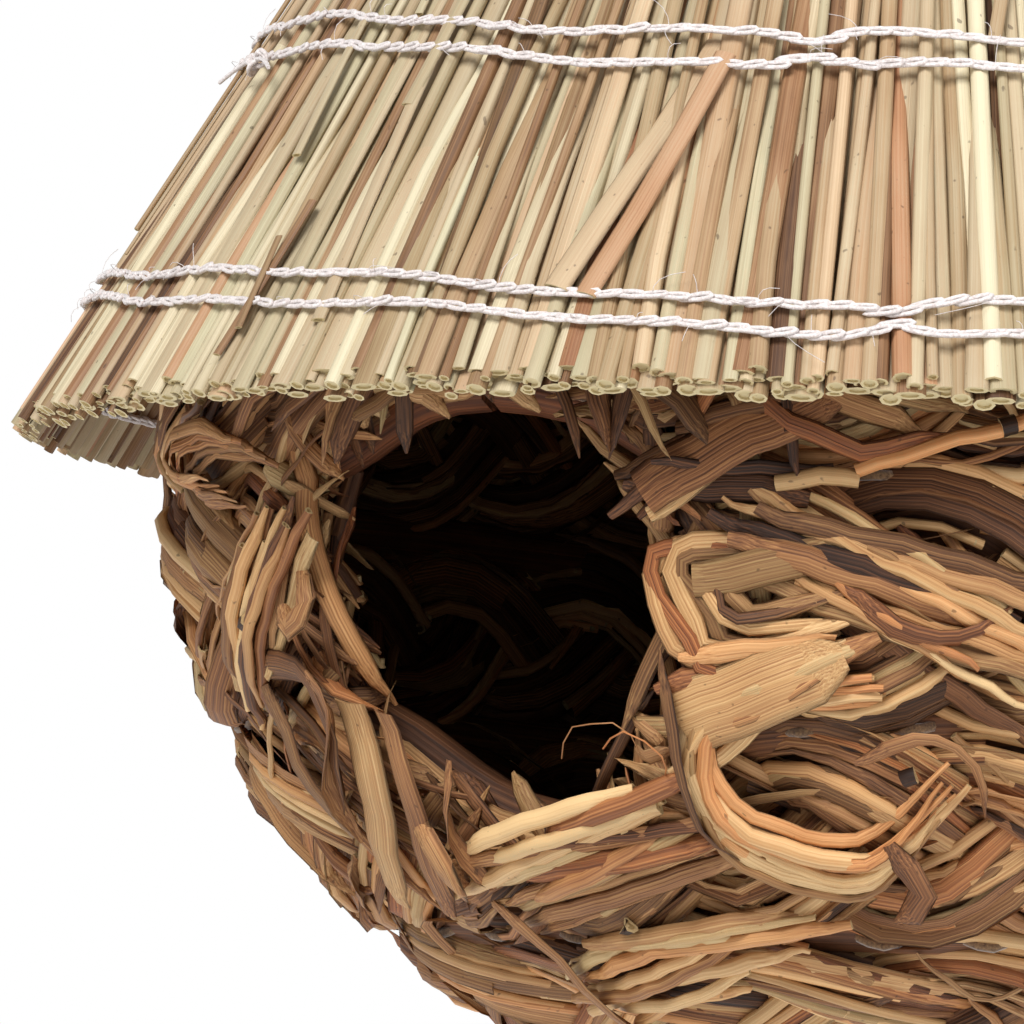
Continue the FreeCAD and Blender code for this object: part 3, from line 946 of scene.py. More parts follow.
class Strand:
    """One strand of one course: where its middle runs."""

    def __init__(self, course, number):
        self.course = course
        self.turns = max(round(2 * math.pi * course.radius / PLAIT_TURN), 1)
        self.phase = number / 3 + course.number * 0.37
        self.swing = min(SWING, course.width / 2 - 6.3 * MM)

    def middle(self, around):
        angle = 2 * math.pi * (self.turns * around / 360 + self.phase)
        return self.swing * math.sin(angle), -DIP * math.sin(2 * angle)

    def lean(self, around):
        """How steeply the strand climbs across its course."""
        angle = 2 * math.pi * (self.turns * around / 360 + self.phase)
        return self.swing * self.turns * math.cos(angle) / self.course.radius

    def place(self, around, turn, lift):
        """A point of the strand's surface: turn is the angle round its section, 90 degrees outwards."""
        across, out = self.middle(around)
        side, outward = math.cos(turn), math.sin(turn)
        lean = self.lean(around)
        along_wall = side * (BUNDLE_WIDE + lift) / math.hypot(1, lean)
        around += math.degrees(-lean * along_wall / self.course.radius)
        radius, height = self.course.place(across + along_wall, out + outward * (BUNDLE_DEEP + lift))
        point, towards_hole, crowding = on_the_wall(around, radius, height)
        climb = out_from_wire(around) * self.course.up[0] + UP * self.course.up[1]
        facing = self.course.outward(around) * (outward * 1.7) + climb * side + towards_hole * 1.5
        return point, facing.normalized(), crowding


# %% Lines along a strand


def parted(places, spacing=5 * MM):
    """Thin out a fine run of points, and part it at each break and where the entrance opens."""
    lines, points, facing = [], [], []
    for place in places:
        if place is None:
            lines.append((points, facing))
            points, facing = [], []
            continue
        point, normal = place
        gap = (point - points[-1]).length if points else spacing
        if gap > 3 * spacing:
            lines.append((points, facing))
            points, facing = [point], [normal]
        elif gap >= spacing:
            points.append(point)
            facing.append(normal)
    lines.append((points, facing))
    return [line for line in lines if len(line[0]) > 3]


def strand_lines(strand, start, length, turn, drift, lift):
    """Lines along a strand's surface."""
    span = math.degrees(length / strand.course.radius) / STRAND_SLACK
    steps = max(int(length / (1.2 * MM)), 8)
    places = []
    for step in range(steps + 1):
        share = step / steps
        rise = lift * (0.35 + 0.65 * math.sin(math.pi * share))
        point, normal, crowding = strand.place(start + span * share, turn + drift * share, rise)
        places.append((point, normal) if crowding < MOST_CROWDED else None)
    return parted(places)


# %% Fill a course with strips


def fill_course(course, leaf, stems, source):
    """Lay the strips and stems of a course's three strands."""
    for number in range(3):
        strand = Strand(course, number)
        length_of_strand = 2 * math.pi * course.radius * STRAND_SLACK
        for layer, (share_in, lift, strips) in enumerate(((0.3, -0.3 * MM, 13), (0.06, 0.6 * MM, 15))):
            for _ in range(int(length_of_strand * strips / STRIP_LENGTH)):
                length = source.uniform(35, 125) * MM
                inside = source.random() < share_in
                turn = math.radians(source.gauss(90, 50) + (180 if inside else 0))
                drift = math.radians(source.gauss(0, 34))
                rise = lift + abs(source.gauss(0, 0.6)) * MM
                rise *= SNUG if course.number >= FIRST_UNDER_ROOF else 1
                stem = source.random() < 0.3
                for points, facing in strand_lines(strand, source.uniform(0, 360), length, turn, drift, rise):
                    if stem:
                        girth = source.uniform(0.6, 1.25) * MM
                        stems.add(points, facing, girth, source.gauss(0.74, 0.14), 0)
                        continue
                    girth = min(abs(source.gauss(1.3, 0.75)) + 0.4, 3.2) * MM
                    widths = tapered(girth, len(points), source.uniform(0.1, 1), source.uniform(0.1, 1))
                    # The lower layer's strips are tinted darker: painted shade under the top layer.
                    tint = source.gauss(0.5, 0.16) - 0.1 * (1 - layer)
                    twist(facing, points, source.gauss(0, 0.5), source.gauss(0, 0.6))
                    leaf.add(points, facing, widths, tint, source.uniform(-0.9, 0.4))


def fill_core(course, cores):
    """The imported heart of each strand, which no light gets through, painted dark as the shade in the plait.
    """
    for number in range(3):
        strand = Strand(course, number)
        places = []
        steps = 560
        for step in range(steps + 1):
            around = 360 * step / steps
            across, out = strand.middle(around)
            point, towards_hole, crowding = on_the_wall(around, *course.place(across, out - 0.8 * MM))
            outward = (course.outward(around) + towards_hole).normalized()
            places.append((point, outward) if crowding < MOST_CROWDED else None)
        for points, facing in parted(places, 4 * MM):
            cores.add(points, facing, tapered(4.4 * MM, len(points), 0.3, 0.3, 0.05), 0.2)


# %% Plait all eight courses
nest_pieces = []
for course in courses:
    source = random.Random(40 + course.number)
    leaf, stems, cores = Guides(), Guides(), Guides()
    fill_course(course, leaf, stems, source)
    fill_core(course, cores)
    strips = sweep(f"plait_leaf_{course.number}", leaf, leaf_material, thickness=0.09)
    rods = sweep(f"plait_stems_{course.number}", stems, stem_material, sides=7, thickness=0.85, bore=0.6)
    # The heart is swept in the darkest leaf colours, as painted shade inside the strands.
    heart = sweep(f"plait_heart_{course.number}", cores, shade_dark_core_material, thickness=0.5)
    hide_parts(f"plait_course_{course.number}")
    nest_pieces += [strips, rods, heart]
for piece in nest_pieces:
    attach(piece, "nest_body")

# %% [markdown]
# Neighbouring courses are sewn edge to edge. The twine runs in and out of the groove, so it shows only as
# short stitches. Behind it the pressed edges of the plait fill the groove, and a packed ring stands for
# them, in the darkest leaf colours as painted shade in the groove.

# %% Sewn grooves
TWINE_RADIUS = 0.75 * MM


def groove_places(index, depth, wave, step_angle=0.6):
    """Fine points along a groove, which can wave in and out."""
    radius, height = seams[index]
    normal = courses[min(index, 7)].out
    places = []
    for step in range(int(360 / step_angle) + 1):
        around = step * step_angle
        inwards = depth + wave * math.sin(math.radians(around) * round(radius / (2.4 * MM)))
        wander = 0.8 * MM * math.sin(math.radians(around * 5 + 70 * index))
        spot = on_the_wall(around, radius - normal[0] * inwards, height - normal[1] * inwards + wander)
        places.append((spot[0], out_from_wire(around) * normal[0] + UP * normal[1]))
    return places


twine_material = make_yarn_material("leaf twine", rgb(150, 116, 78), rgb(84, 58, 38))
filling = Guides()
for index in range(9):
    for points, facing in parted(groove_places(index, 5.4 * MM, 0), 4 * MM):
        filling.add(points, facing, 4.2 * MM, 0.22)
    twine = Guides()
    for points, facing in parted(groove_places(index, 2.6 * MM, 2.0 * MM), 1.6 * MM):
        twine.add(points, facing, TWINE_RADIUS, 0.5)
    stitch = sweep(f"seam_stitches_{index + 1}", twine, twine_material, sides=6)
    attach(stitch, "nest_body")
    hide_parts(f"seam_twine_{index + 1}")
# The packing is leaf in the darkest colours: painted shade in the grooves between courses.
packing = sweep("groove_packing", filling, shade_dark_core_material, thickness=0.85)
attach(packing, "nest_body")

# %% [markdown]
# The pot begins and ends with a flat coil. The plait there is wound as a spiral, so one spiral of strips
# serves for both, turned over for the crown. A spiral can't be a stack of rings, or the middle would be
# left open.

# %% The floor coil and the crown coil
COIL_PITCH = 10.5 * MM
COIL_TURN = 18 * MM
COIL_SWING = 2.6 * MM


def make_coil_plait(name, node, faces_up, seed):
    source = random.Random(seed)
    low, high = (Vector(corner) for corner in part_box(node))
    middle = (low.z + high.z) / 2
    outer = high.x
    side = 1 if faces_up else -1
    turns = (outer - 3.5 * MM) / COIL_PITCH
    leaf, hearts = Guides(), Guides()

    def place(turn, across, lift):
        radius = max(turn * COIL_PITCH + across, 0.4 * MM)
        return out_from_wire(turn * 360) * radius + UP * (middle + side * lift)

    def swing(turn, strand):
        return 2 * math.pi * (turn * turn * COIL_PITCH / COIL_TURN + strand / 3)

    for strand in range(3):
        path, normals = [], []
        for step in range(int(turns * 40) + 1):
            turn = step / 40
            angle = swing(turn, strand)
            path.append(place(turn, COIL_SWING * math.sin(angle), -1.0 * MM * math.sin(2 * angle)))
            normals.append(UP * side)
        hearts.add(path, normals, 2.7 * MM, 0.25)
    for _ in range(int(outer / MM * 9)):
        strand = source.randrange(3)
        begin = turns * math.sqrt(source.random())
        length = source.uniform(18, 60) * MM
        finish = min(begin + length / (2 * math.pi * max(begin * COIL_PITCH, 5 * MM)), turns)
        offset = source.uniform(-2.6, 2.6) * MM
        back = source.random() < 0.4
        points, facing = [], []
        steps = 14
        for step in range(steps + 1):
            turn = begin + (finish - begin) * step / steps
            angle = swing(turn, strand)
            lift = 3.0 * MM - 1.0 * MM * math.sin(2 * angle) - 0.3 * offset**2 / COIL_SWING
            points.append(place(turn, COIL_SWING * math.sin(angle) + offset, -lift if back else lift))
            facing.append(UP * (-side if back else side))
        if (points[-1] - points[0]).length > 4 * MM:
            widths = tapered(source.uniform(0.8, 1.9) * MM, len(points), 0.3, 0.3)
            leaf.add(points, facing, widths, source.gauss(0.5, 0.15), source.uniform(-0.6, 0.2))
    # The coil's heart is in the darkest leaf colours, as painted shade under its strips.
    heart = sweep(f"{name}_heart", hearts, shade_dark_core_material, thickness=0.7)
    strips = sweep(f"{name}_strips", leaf, leaf_material, sides=6, thickness=0.12)
    for piece in (heart, strips):
        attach(piece, "nest_body")
    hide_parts(node)


make_coil_plait("floor_coil", "base_coil", False, 71)
make_coil_plait("top_coil", "crown_coil", True, 72)

# %% [markdown]
# What makes the pot look hand-made is all that didn't stay in the plait: ends that spring out, ribbons that
# fold over, stems that poke through. A loose strip is drawn as a few stations, each an angle, a height
# above the eave and a lift off the wall, and a curve is led through them. Random ones fill in where
# none are drawn.

# %% The skin that loose strips lie on
SKIN = 3.1 * MM
POT_RADIUS = 98
MM_PER_DEGREE = 1.7
DEGREES_PER_MM = 0.6
HAND_TURN = 3.0


def skin(level):
    """How far the plait stands out of the grooves at a level: most at the middle of each course."""
    for lower, upper in zip(seams, seams[1:]):
        if level <= upper[1]:
            break
    share = 2 * (level - lower[1]) / (upper[1] - lower[1]) - 1
    return SKIN * math.sqrt(max(1 - share * share, 0)) - 0.6 * MM


def in_lower_half(height):
    """Whether a height, in millimetres from the eave, is in the lower half of its course."""
    level = EAVE_HEIGHT + height * MM
    return any(lower[1] < level < (lower[1] + upper[1]) / 2 for lower, upper in zip(seams, seams[1:]))


# %% Curves through stations
crinkle = random.Random(97)


def curve_through(stations, step_length=2.5 * MM):
    """A smooth run of (angle, height, lift) through the stations."""
    padded = [stations[0]] + list(stations) + [stations[-1]]
    run = []
    for index in range(1, len(padded) - 2):
        before, begin, finish, after = padded[index - 1 : index + 3]
        distance = math.hypot((finish[0] - begin[0]) * MM_PER_DEGREE, finish[1] - begin[1]) * MM
        steps = max(int(distance / step_length), 2)
        for step in range(steps):
            t = step / steps
            spot = []
            for a, b, c, d in zip(before, begin, finish, after):
                bend = (2 * a - 5 * b + 4 * c - d) * t * t
                bent = 2 * b + (c - a) * t + bend + (3 * b - 3 * c + d - a) * t**3
                spot.append(0.5 * bent)
            run.append(spot)
    run.append(list(stations[-1]))
    return run


def pot_point(around, height, lift):
    """A point over the pot's skin; height and lift are in millimetres, the height from the eave."""
    level = EAVE_HEIGHT + height * MM
    around += HAND_TURN
    slant = (wall_radius(level + 4 * MM) - wall_radius(level - 4 * MM)) / (8 * MM)
    normal = (out_from_wire(around) - UP * slant).normalized()
    off_wall = skin(level) + lift * MM
    return out_from_wire(around) * wall_radius(level) + UP * level + normal * off_wall, normal


def lay_through(guides, stations, girth, tint, ends=(0.3, 0.3), turn=(0, 0), dish=-0.4):
    """Lay a strip through stations; girth is half its width in millimetres."""
    points, facing = [], []
    phase = crinkle.uniform(0, 6)
    for step, (around, height, lift) in enumerate(curve_through(stations)):
        wave = 0.22 * math.sin(phase + 1.9 * step) + 0.15 * math.sin(2 * phase + 0.7 * step)
        point, normal = pot_point(around + wave * 0.5, height + wave, lift + wave)
        points.append(point)
        facing.append(normal)
    twist(facing, points, *turn)
    guides.add(points, facing, tapered(girth * MM, len(points), *ends), tint, dish)


loose_leaf, loose_stems = Guides(), Guides()


def lay_leaf(stations, *shape):
    """Lay a strip of leaf through stations."""
    lay_through(loose_leaf, stations, *shape)


def lay_stem(stations, *shape):
    """Lay a round stem through stations."""
    lay_through(loose_stems, stations, *shape)


# %% Fans of strips


def loosened(stations, source, amount):
    """The same stations, each moved a little."""
    return [[value + source.gauss(0, amount) for value in station] for station in stations]


def fan(guides, begin, finish, spread_begin, spread_finish, count, girth, tint, source, bow=0.0):
    """Strips side by side from one place to another, opening or closing like a fan, with ragged ends."""
    for number in range(count):
        share = number / max(count - 1, 1) - 0.5 + source.gauss(0, 0.06)
        first = [value + share * add for value, add in zip(begin, spread_begin)]
        last = [value + share * add for value, add in zip(finish, spread_finish)]
        early, late = source.uniform(-0.22, 0.18), source.uniform(-0.18, 0.22)
        run = [b - a for a, b in zip(first, last)]
        first = [a + r * early for a, r in zip(first, run)]
        last = [a + r * late for a, r in zip(last, run)]
        middle = [(a + b) / 2 for a, b in zip(first, last)]
        middle[2] += bow
        path = loosened([first, middle, last], source, 0.55)
        ends = (source.uniform(0.2, 0.8), source.uniform(0.2, 0.8))
        turn = (source.gauss(0, 0.25), source.gauss(0, 0.45))
        width = girth * source.uniform(0.5, 1.15)
        lay_through(guides, path, width, tint + source.gauss(-0.07, 0.17), ends, turn)


# %% Random strips over the whole pot
LOWEST, HIGHEST = -88, 12
CLEAR_AT_START, CLEAR_ALL_ALONG = 36, 33


def from_hole(around, height):
    """How far a place lies from the middle of the entrance, in millimetres."""
    return math.hypot(math.radians(around + HAND_TURN) * POT_RADIUS, height - HOLE_LEVEL)


random_strip = random.Random(83)
for _ in range(420):
    around = random_strip.uniform(-180, 180)
    height = -86 + 96 * random_strip.random() ** 0.8
    if from_hole(around, height) < CLEAR_AT_START:
        continue
    heading = random_strip.gauss(0.5, 0.3) * (1 if in_lower_half(height) else -1)
    length = random_strip.uniform(14, 46)
    curl = random_strip.gauss(0, 10)
    end_lift = abs(random_strip.gauss(0, 1))
    half = length * 0.5
    middle_place = around + half * math.cos(heading) * DEGREES_PER_MM
    middle_height = height + half * math.sin(heading) + curl * 0.25
    end_place = around + length * math.cos(heading) * DEGREES_PER_MM
    end_height = height + length * math.sin(heading) - curl * 0.4
    stations = [
        (around, height, -1.5),
        (middle_place, middle_height, random_strip.uniform(0, 1.1)),
        (end_place, end_height, end_lift),
    ]
    if min(from_hole(a, h) for a, h, _ in stations) < CLEAR_ALL_ALONG:
        continue
    if max(h for _, h, _ in stations) > HIGHEST or min(h for _, h, _ in stations) < LOWEST:
        continue
    stem = random_strip.random() < 0.22
    lay_through(
        loose_stems if stem else loose_leaf,
        stations,
        random_strip.uniform(0.5, 1.0) if stem else random_strip.uniform(0.4, 1.8),
        random_strip.gauss(0.7, 0.15) if stem else random_strip.gauss(0.5, 0.17),
        (1, 1) if stem else (0.3, 0.1),
        (random_strip.gauss(0, 0.4), random_strip.gauss(0, 1.3)),
        0 if stem else random_strip.uniform(-1.2, 0.2),
    )
print("points in random strips:", len(loose_leaf.points), "on leaf and", len(loose_stems.points), "on stems")

# %% [markdown]
# Round the entrance the strands turn back on themselves. These are drawn one by one, because they are what
# one looks at: the ribbed fans and the bundle that bends back at the right-hand edge, the steep pale stems
# and straps at the left, the thick stems that lie along the sill, and the dry leaves that hang under the
# eave.

# %% The right-hand edge
hand = random.Random(91)
fan(loose_leaf, (26, 1, 2.5), (13, -11, 2.5), (5, 4, 1), (1, 9, 1), 7, 2.3, 0.42, hand, 0.8)
fan(loose_leaf, (25, -10, 3.2), (13.5, -10, 3.6), (0, 3, 1), (0, 2, 1), 2, 1.9, 0.38, hand, 0.5)
lay_leaf([(28, 1, 3.6), (21, -5, 4.6), (13.4, -11.5, 3.4)], 3.6, 0.4, (0.4, 0.9), (0, 0.2), -0.12)
lay_leaf([(15.2, -39.5, 3.6), (21, -36, 4.6), (28, -31, 3.4)], 5.0, 0.74, (1, 0.4), (0, 0.1), -0.1)
lay_leaf([(17, -22, 3.4), (22, -20, 4.4), (29, -17, 3)], 2.6, 0.62, (0.9, 0.5), (0, 0.3), -0.2)
lay_leaf([(20, 2, 3), (24, -4, 5), (29, -7, 4.5), (36, -4, 3)], 1.5, 0.36, (0.5, 0.2), (0.2, 0.8))
lay_stem([(28.5, -9, 3), (34, -6, 4), (41, -2, 3)], 1.0, 0.84, (1, 1))
lay_stem([(23, -10.5, 3.5), (26, -9.8, 4), (29, -9.5, 3.8)], 1.2, 0.86, (1, 1))
fan(loose_stems, (21, -14, 2.4), (41, -31, 2.4), (1, 9, 1), (2, 12, 1), 8, 1.25, 0.72, hand, 1.2)
fan(loose_leaf, (22, -17, 3), (42, -27, 2.8), (1, 8, 1), (1, 9, 1), 6, 1.9, 0.5, hand, 0.8)
for number in range(7):
    inner = number * 1.35
    shade = (0.5, 0.72, 0.9, 0.62, 0.8, 0.4, 0.66)[number]
    path = [
        (24 + inner * 0.6, -17 + inner * 0.1, 2),
        (14.4 + inner * 0.55, -18 - inner * 0.35, 2.6),
        (15.2 + inner * 0.5, -29 + inner * 0.9, 3.2),
        (19 + inner * 0.3, -33.5 + inner, 3.4),
        (29, -29.5 + inner * 0.8, 2.6),
    ]
    path = loosened(path, hand, 0.7)
    lay_leaf(path, hand.uniform(0.8, 1.9), shade - 0.08, (0.4, 0.3), (0.5, -0.4))
fan(loose_leaf, (15.5, -40, 2.6), (28, -30.5, 2.8), (0, 12, 2), (1, 3, 0), 8, 1.7, 0.66, hand, 1.4)
for number in range(8):
    outer = number * 1.1
    path = [
        (32 - outer * 0.3, -37 + outer * 0.5, 2),
        (20 - outer * 0.25, -39 + outer * 0.25, 2.8),
        (16.5 - outer * 0.1, -44 - outer * 0.2, 3.4),
        (20, -50 - outer * 0.6, 3.6),
        (30, -53 - outer * 0.9, 3.2),
        (37, -44 - outer * 0.7, 2),
    ]
    path = loosened(path, hand, 0.6)
    lay = lay_stem if number % 2 else lay_leaf
    lay(path, hand.uniform(0.7, 1.4), hand.gauss(0.7, 0.13), (0.5, 0.3), (0, hand.gauss(0, 0.4)))
lay_leaf([(14, -31, 2), (14.6, -40, 5), (16, -50, 5), (19.5, -56, 3)], 1.4, 0.36, (0.2, 0.2), (0.4, 1.2))
lay_leaf([(28, -22, 4), (33, -28, 4.5), (38, -27, 3.5), (41, -22, 3)], 1.7, 0.34, (0.3, 0.2), (0, 1))
lay_leaf([(29, -43, 4), (35, -40, 6), (39, -44, 5), (40, -49, 3)], 1.6, 0.4, (0.3, 0.1), (0, 1.6))
lay_leaf([(32, -52, 4), (35, -57, 6), (33, -62, 4)], 2.2, 0.3, (0.4, 0.2), (0, 1.2))

# %% The left-hand edge
fan(loose_stems, (-22, -16, 2.4), (-34, -38, 1.8), (9, 0, 1), (7, 3, 1), 9, 1.25, 0.84, hand, 0.8)
fan(loose_leaf, (-20, -14, 2), (-31, -36, 1.6), (8, 0, 1), (8, 2, 1), 6, 1.5, 0.6, hand, 0.6)
lay_leaf([(-16.5, -38, 3), (-18, -48, 3.4), (-25, -62, 3)], 3.4, 0.72, (0.9, 0.7), (0, 0.2), -0.25)
lay_leaf([(-13, -39, 3), (-13.5, -50, 3.4), (-18, -64, 3)], 2.6, 0.4, (0.9, 0.5), (0.3, 0), -0.3)
lay_leaf([(-30, -33, 2), (-21, -34, 3.4), (-19, -41, 5), (-24, -50, 3)], 2.4, 0.38, (0.4, 0.5), (0, 0.9))
lay_leaf([(-29, -36, 2), (-27, -44, 4), (-26, -54, 2)], 2.8, 0.42, (0.6, 0.5), (0.2, 0.4))
lay_leaf([(-22, -32, 3), (-17, -38, 6), (-22, -46, 5), (-24, -54, 3)], 1.6, 0.5, (0.2, 0.2), (0, 2.2))
for number in range(5):
    ring = []
    for turn in (0.3, 1.6, 2.8, 3.9, 5.0):
        place = -27 + 7 * math.cos(turn) - number * 1.2
        ring.append((place, -9 + 3.4 * math.sin(turn) + number * 0.8, 2.5 + number * 0.4))
    lay_leaf(ring, 1.3, 0.5 + 0.06 * number, (0.3, 0.2), (0, 0.7))
lay_leaf([(-19, -21, 2), (-17, -24, 5), (-19, -27, 5), (-21, -25, 3)], 2.0, 0.58, (0.5, 0.4), (0, 1.5), -1.2)

# %% The sill
fan(loose_stems, (-10, -60, 2.2), (13, -49.5, 2.6), (0, 9, 1), (0, 6, 1), 6, 1.35, 0.8, hand, 0.8)
fan(loose_stems, (-2, -55, 3), (13, -46.5, 3), (0, 5, 1), (0, 2, 1), 2, 1.7, 0.7, hand, 0.6)
fan(loose_leaf, (-9, -62, 2.6), (16, -54, 2.4), (0, 12, 1), (0, 7, 1), 7, 1.6, 0.5, hand, 1)
fan(loose_stems, (-8, -73, 2.2), (22, -66, 2.2), (2, 9, 1), (4, 8, 1), 9, 1.3, 0.78, hand, 0.8)
for around, height in ((38.6, -3.2), (33, -44.5), (5, -64.6), (-27.5, -27)):
    lay_stem([(around, height, 3.4), (around + 0.9, height + 0.35, 3.4)], 1.3, 0.02, (1, 1))
lay_stem([(8, -43, 2), (11, -40, 6), (14, -42, 6), (13, -46, 2)], 0.13, 0.6, (1, 0.6))
lay_stem([(4, -44, 2), (6, -40.5, 4), (10, -39.5, 5), (11.5, -43, 3)], 0.1, 0.5, (1, 0.6))
lay_leaf([(-7, -44, 3), (-9, -52, 5), (-8.5, -60, 3)], 1.4, 0.46, (0.3, 0.3), (0, 2.8))
lay_leaf([(-14, -52, 3), (-11, -55, 6), (-12, -60, 4)], 3.0, 0.56, (0.7, 0.5), (0.2, 1.2), -0.9)
lay_leaf([(-10, -62, 3), (-5, -68, 5), (-2, -76, 4), (0, -82, 2)], 1.7, 0.44, (0.4, 0.3), (0, 0.8))

# %% Dry leaves under the eave, and the ragged rim
for number in range(22):
    around = hand.uniform(-16, 24)
    base = (around, hand.uniform(1, 6), hand.uniform(0, 3))
    reach = hand.uniform(-12, 16)
    middle = (around + reach * 0.5, hand.uniform(-1, 4), 4)
    path = [base, middle, (around + reach, hand.uniform(-11, 1), hand.uniform(1, 6))]
    lay_leaf(path, hand.uniform(0.8, 2.1), hand.gauss(0.46, 0.15), (0.7, 0.15), (0, hand.gauss(0, 1)))


def by_the_hole(away, angle):
    """The angle and height of a place at a distance and a direction from the entrance's middle."""
    around = math.degrees(away * math.cos(angle) / POT_RADIUS) - HAND_TURN
    return around, HOLE_LEVEL + away * math.sin(angle)


for number in range(120):
    angle = hand.uniform(0, 2 * math.pi)
    reach = hand.uniform(26, 31)
    back = hand.uniform(32, 39)
    base = (*by_the_hole(back, angle), hand.uniform(-2, 2))
    slide = hand.gauss(0, 0.4)
    tip = (*by_the_hole(reach, angle + slide), hand.uniform(-7, 0))
    middle = [(a + b) / 2 for a, b in zip(base, tip)]
    middle[2] += hand.uniform(-1, 2)
    turn = (hand.gauss(0, 0.4), hand.gauss(0, 1.2))
    lay_leaf([base, middle, tip], hand.uniform(0.5, 2), hand.gauss(0.48, 0.17), (0.6, 0.2), turn)

# %% Sweep the loose strips
loose_strips = sweep("loose_strips", loose_leaf, leaf_material, thickness=0.08)
loose_rods = sweep("loose_stems", loose_stems, stem_material, thickness=0.7, bore=0.6, bore_depth=0.5 * MM)
for piece in (loose_strips, loose_rods):
    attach(piece, "nest_body")

# %% [markdown]
# At the neck the straws are bound with twine, wound in one piece like a spring. The knot that ends the
# second pair of rows is a trefoil, the shape of a plain overhand knot, with its two tails.

# %% Neck binding
binding = Guides()
neck_low, neck_high = (Vector(corner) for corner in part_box("neck_binding"))
cord_girth = 0.95 * MM
wind_radius = neck_high.x - cord_girth
wind_height = neck_high.z - neck_low.z - 2 * cord_girth
turns = 5
steps = turns * 36
points, facing = [], []
for step in range(steps + 1):
    around = step * 10
    level = neck_low.z + cord_girth + wind_height * step / steps
    points.append(out_from_wire(around) * wind_radius + UP * level)
    facing.append(out_from_wire(around))
binding.add(points, facing, cord_girth, 0.5)
cord_material = make_yarn_material("cotton twine", rgb(232, 222, 202), rgb(170, 150, 122))
neck_cord = sweep("neck_cord", binding, cord_material)
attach(neck_cord, "roof")
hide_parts("neck_binding")

# %% The knot in the second pair of rows
knot_low, knot_high = (Vector(corner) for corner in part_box("thread_knot"))
knot_centre = (knot_low + knot_high) / 2
knot_around = math.degrees(math.atan2(knot_centre.x, -knot_centre.y))
outward, sideways = roof_outward(knot_around), round_the_wire(knot_around)
upward = outward.cross(sideways)
knot = Guides()
for strand in range(2):
    points, facing = [], []
    for step in range(49):
        t = 2 * math.pi * step / 48
        flat = (math.sin(t) + 2 * math.sin(2 * t), math.cos(t) - 2 * math.cos(2 * t))
        size = (0.62 + 0.2 * strand) * MM
        dip = outward * math.sin(3 * t) * 0.7 * MM
        points.append(knot_centre + sideways * flat[0] * size + upward * flat[1] * size * 0.8 - dip)
        facing.append(outward)
    knot.add(points, facing, 0.36 * MM, 0.5)
for tail in (-1, 1):
    points = []
    for step in range(5):
        droop = upward * 0.25 * step**1.7 * MM
        points.append(knot_centre + sideways * tail * (1 + 2.2 * step) * MM - droop + outward * 0.5 * MM)
    knot.add(points, [outward] * 5, 0.3 * MM, 0.5)
overhand = sweep("thread_overhand_knot", knot, yarn_material, sides=6)
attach(overhand, "roof")
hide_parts("thread_knot")

# %% [markdown]
# The wire, the reed sleeve and the stick are hard and plain, and the CAD shapes are already right, so
# they're kept and only given their stuff.

# %% Wire, sleeve and stick


def make_plain_material(name, dark, light, scale, roughness, metallic=0.0):
    """A hard thing's surface: two tones of noise, stretched along the wire."""
    material, tree, shader = new_material(name)
    where = add_node(tree, "ShaderNodeTexCoord").outputs["Object"]
    stretched = add_node(tree, "ShaderNodeVectorMath", {0: where, 1: scale}, operation="MULTIPLY").outputs[0]
    tone = spread(tree, noise(tree, stretched, 1.0, 4.0), 0.3, 0.7)
    tree.links.new(mixed(tree, tone, dark, light), shader.inputs["Base Color"])
    shader.inputs["Roughness"].default_value = roughness
    shader.inputs["Metallic"].default_value = metallic
    bump = add_node(tree, "ShaderNodeBump", {"Strength": 0.5, "Distance": 0.05 * MM, "Height": tone})
    tree.links.new(bump.outputs[0], shader.inputs["Normal"])
    return material


wire_material = make_plain_material(
    "galvanised wire", rgb(150, 152, 154), rgb(196, 198, 200), (500, 500, 500), 0.42, 1.0
)
reed_material = make_plain_material("reed", rgb(160, 124, 76), rgb(206, 174, 116), (900, 900, 60), 0.5)
stick_material = make_plain_material("bare stick", rgb(104, 74, 48), rgb(150, 112, 76), (60, 900, 900), 0.7)
for node, material in (
    ("hanger_wire", wire_material),
    ("roof_sleeve", reed_material),
    ("toggle_stick", stick_material),
):
    kept = bpy.data.objects[node]
    kept.data.materials.clear()
    kept.data.materials.append(material)
    print(f"{node}: {material.name}")

# %% [markdown]
# The hotel is shown as it hangs, against plain white, with soft daylight from large lamps. The camera
# stands a metre away, to the right of the entrance and a little below the eave, and is tilted a touch to
# one side.

# %% Camera
CAMERA_DISTANCE = 1.0
LOOK_UP = 4.03
ROLL = 2.29
LENS = 247.6
LEFT_OF_WIRE = 53.4 * MM
BELOW_EAVE = 8.8 * MM


def point_at(thing, target):
    thing.rotation_mode = "QUATERNION"
    thing.rotation_quaternion = (target - thing.location).to_track_quat("-Z", "Y")


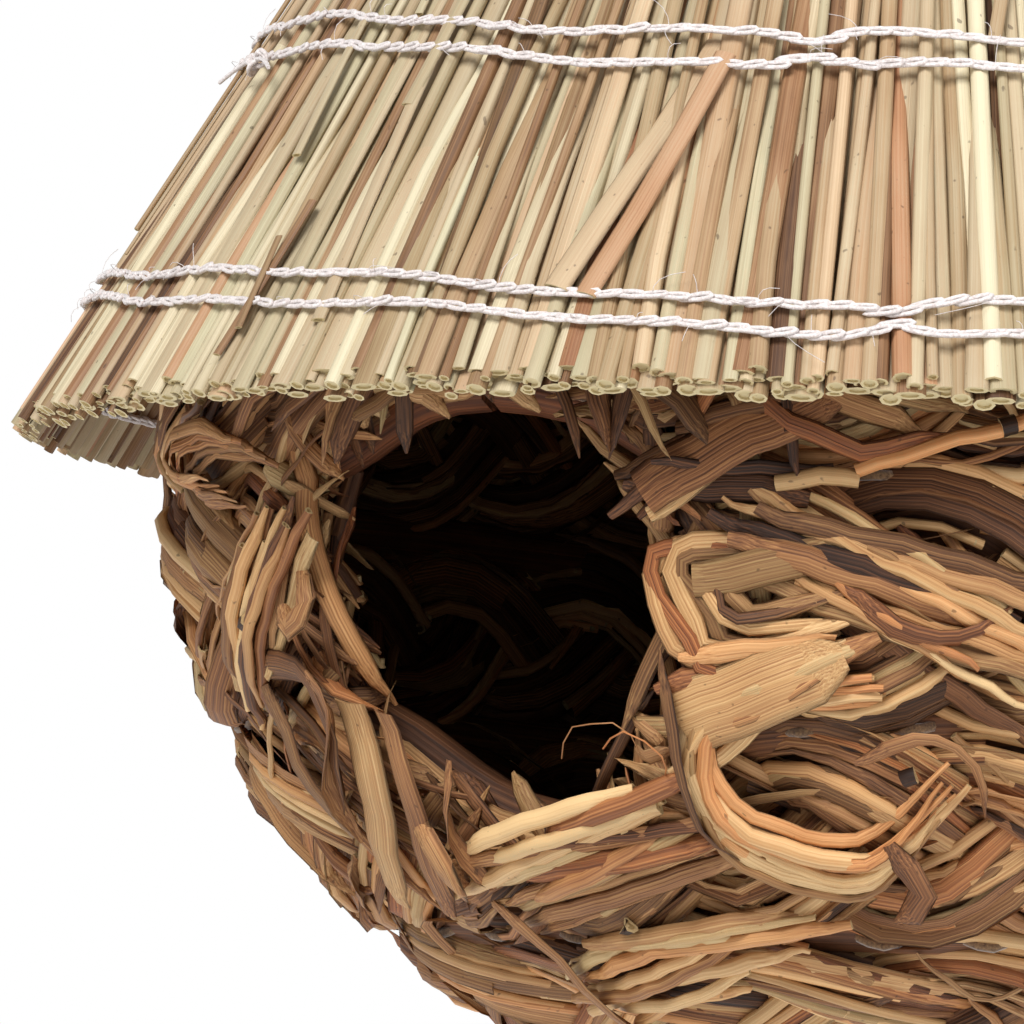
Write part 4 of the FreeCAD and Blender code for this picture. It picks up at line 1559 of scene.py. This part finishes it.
target = -round_the_wire(CAMERA_AROUND) * LEFT_OF_WIRE + UP * (EAVE_HEIGHT - BELOW_EAVE)
tilt = math.radians(LOOK_UP)
look = -out_from_wire(CAMERA_AROUND) * math.cos(tilt) + UP * math.sin(tilt)
camera_data = bpy.data.cameras.new("camera")
camera_data.lens = LENS
camera_data.sensor_width = 36
camera_data.clip_start = 0.05
camera = bpy.data.objects.new("camera", camera_data)
bpy.context.scene.collection.objects.link(camera)
camera.location = target - look * CAMERA_DISTANCE
point_at(camera, target)
camera.rotation_quaternion = camera.rotation_quaternion @ Quaternion((0, 0, 1), math.radians(ROLL))
bpy.context.scene.camera = camera
print("camera at", [round(value, 3) for value in camera.location], "with a lens of", LENS, "mm")

# %% Lamps and sky


def add_lamp(name, around, height, distance, size, watts):
    data = bpy.data.lights.new(name, "AREA")
    data.shape = "SQUARE"
    data.size = size
    data.energy = watts
    lamp = bpy.data.objects.new(name, data)
    bpy.context.scene.collection.objects.link(lamp)
    lamp.location = out_from_wire(around) * distance + UP * height
    point_at(lamp, Vector((0, 0, EAVE_HEIGHT)))


add_lamp("key lamp", CAMERA_AROUND - 25, 0.75, 1.3, 0.7, 26)
add_lamp("fill lamp", CAMERA_AROUND + 55, 0.05, 1.4, 0.9, 9)

SKY_LIGHT = 0.38
world = bpy.data.worlds.new("plain white")
world.use_nodes = True
sky = world.node_tree
ray = add_node(sky, "ShaderNodeLightPath").outputs["Is Camera Ray"]
sky_strength = calculate(sky, "ADD", calculate(sky, "MULTIPLY", ray, 1 - SKY_LIGHT), SKY_LIGHT)
sky.links.new(sky_strength, sky.nodes["Background"].inputs["Strength"])
sky.nodes["Background"].inputs["Color"].default_value = (1, 1, 1, 1)
bpy.context.scene.world = world
bpy.context.scene.view_settings.view_transform = "Standard"
print("sky gives", SKY_LIGHT, "of full white to the straw, and shows as plain white behind it")

# %% Floor
FLOOR_DROP = 1.3
FLOOR_HALF = 6
floor_mesh = bpy.data.meshes.new("floor")
floor_height = cad_bounds[0][2] - FLOOR_DROP
corners = [(x * FLOOR_HALF, y * FLOOR_HALF, floor_height) for x, y in ((-1, -1), (1, -1), (1, 1), (-1, 1))]
floor_mesh.from_pydata(corners, [], [(0, 1, 2, 3)])
floor = bpy.data.objects.new("floor", floor_mesh)
bpy.context.scene.collection.objects.link(floor)
floor_material, _, floor_shader = new_material("pale floor")
floor_shader.inputs["Base Color"].default_value = (0.9, 0.9, 0.9, 1)
floor_shader.inputs["Emission Color"].default_value = (1, 1, 1, 1)
floor_shader.inputs["Emission Strength"].default_value = 0.45
floor_mesh.materials.append(floor_material)
print("floor at", round(floor_height, 3), "m")
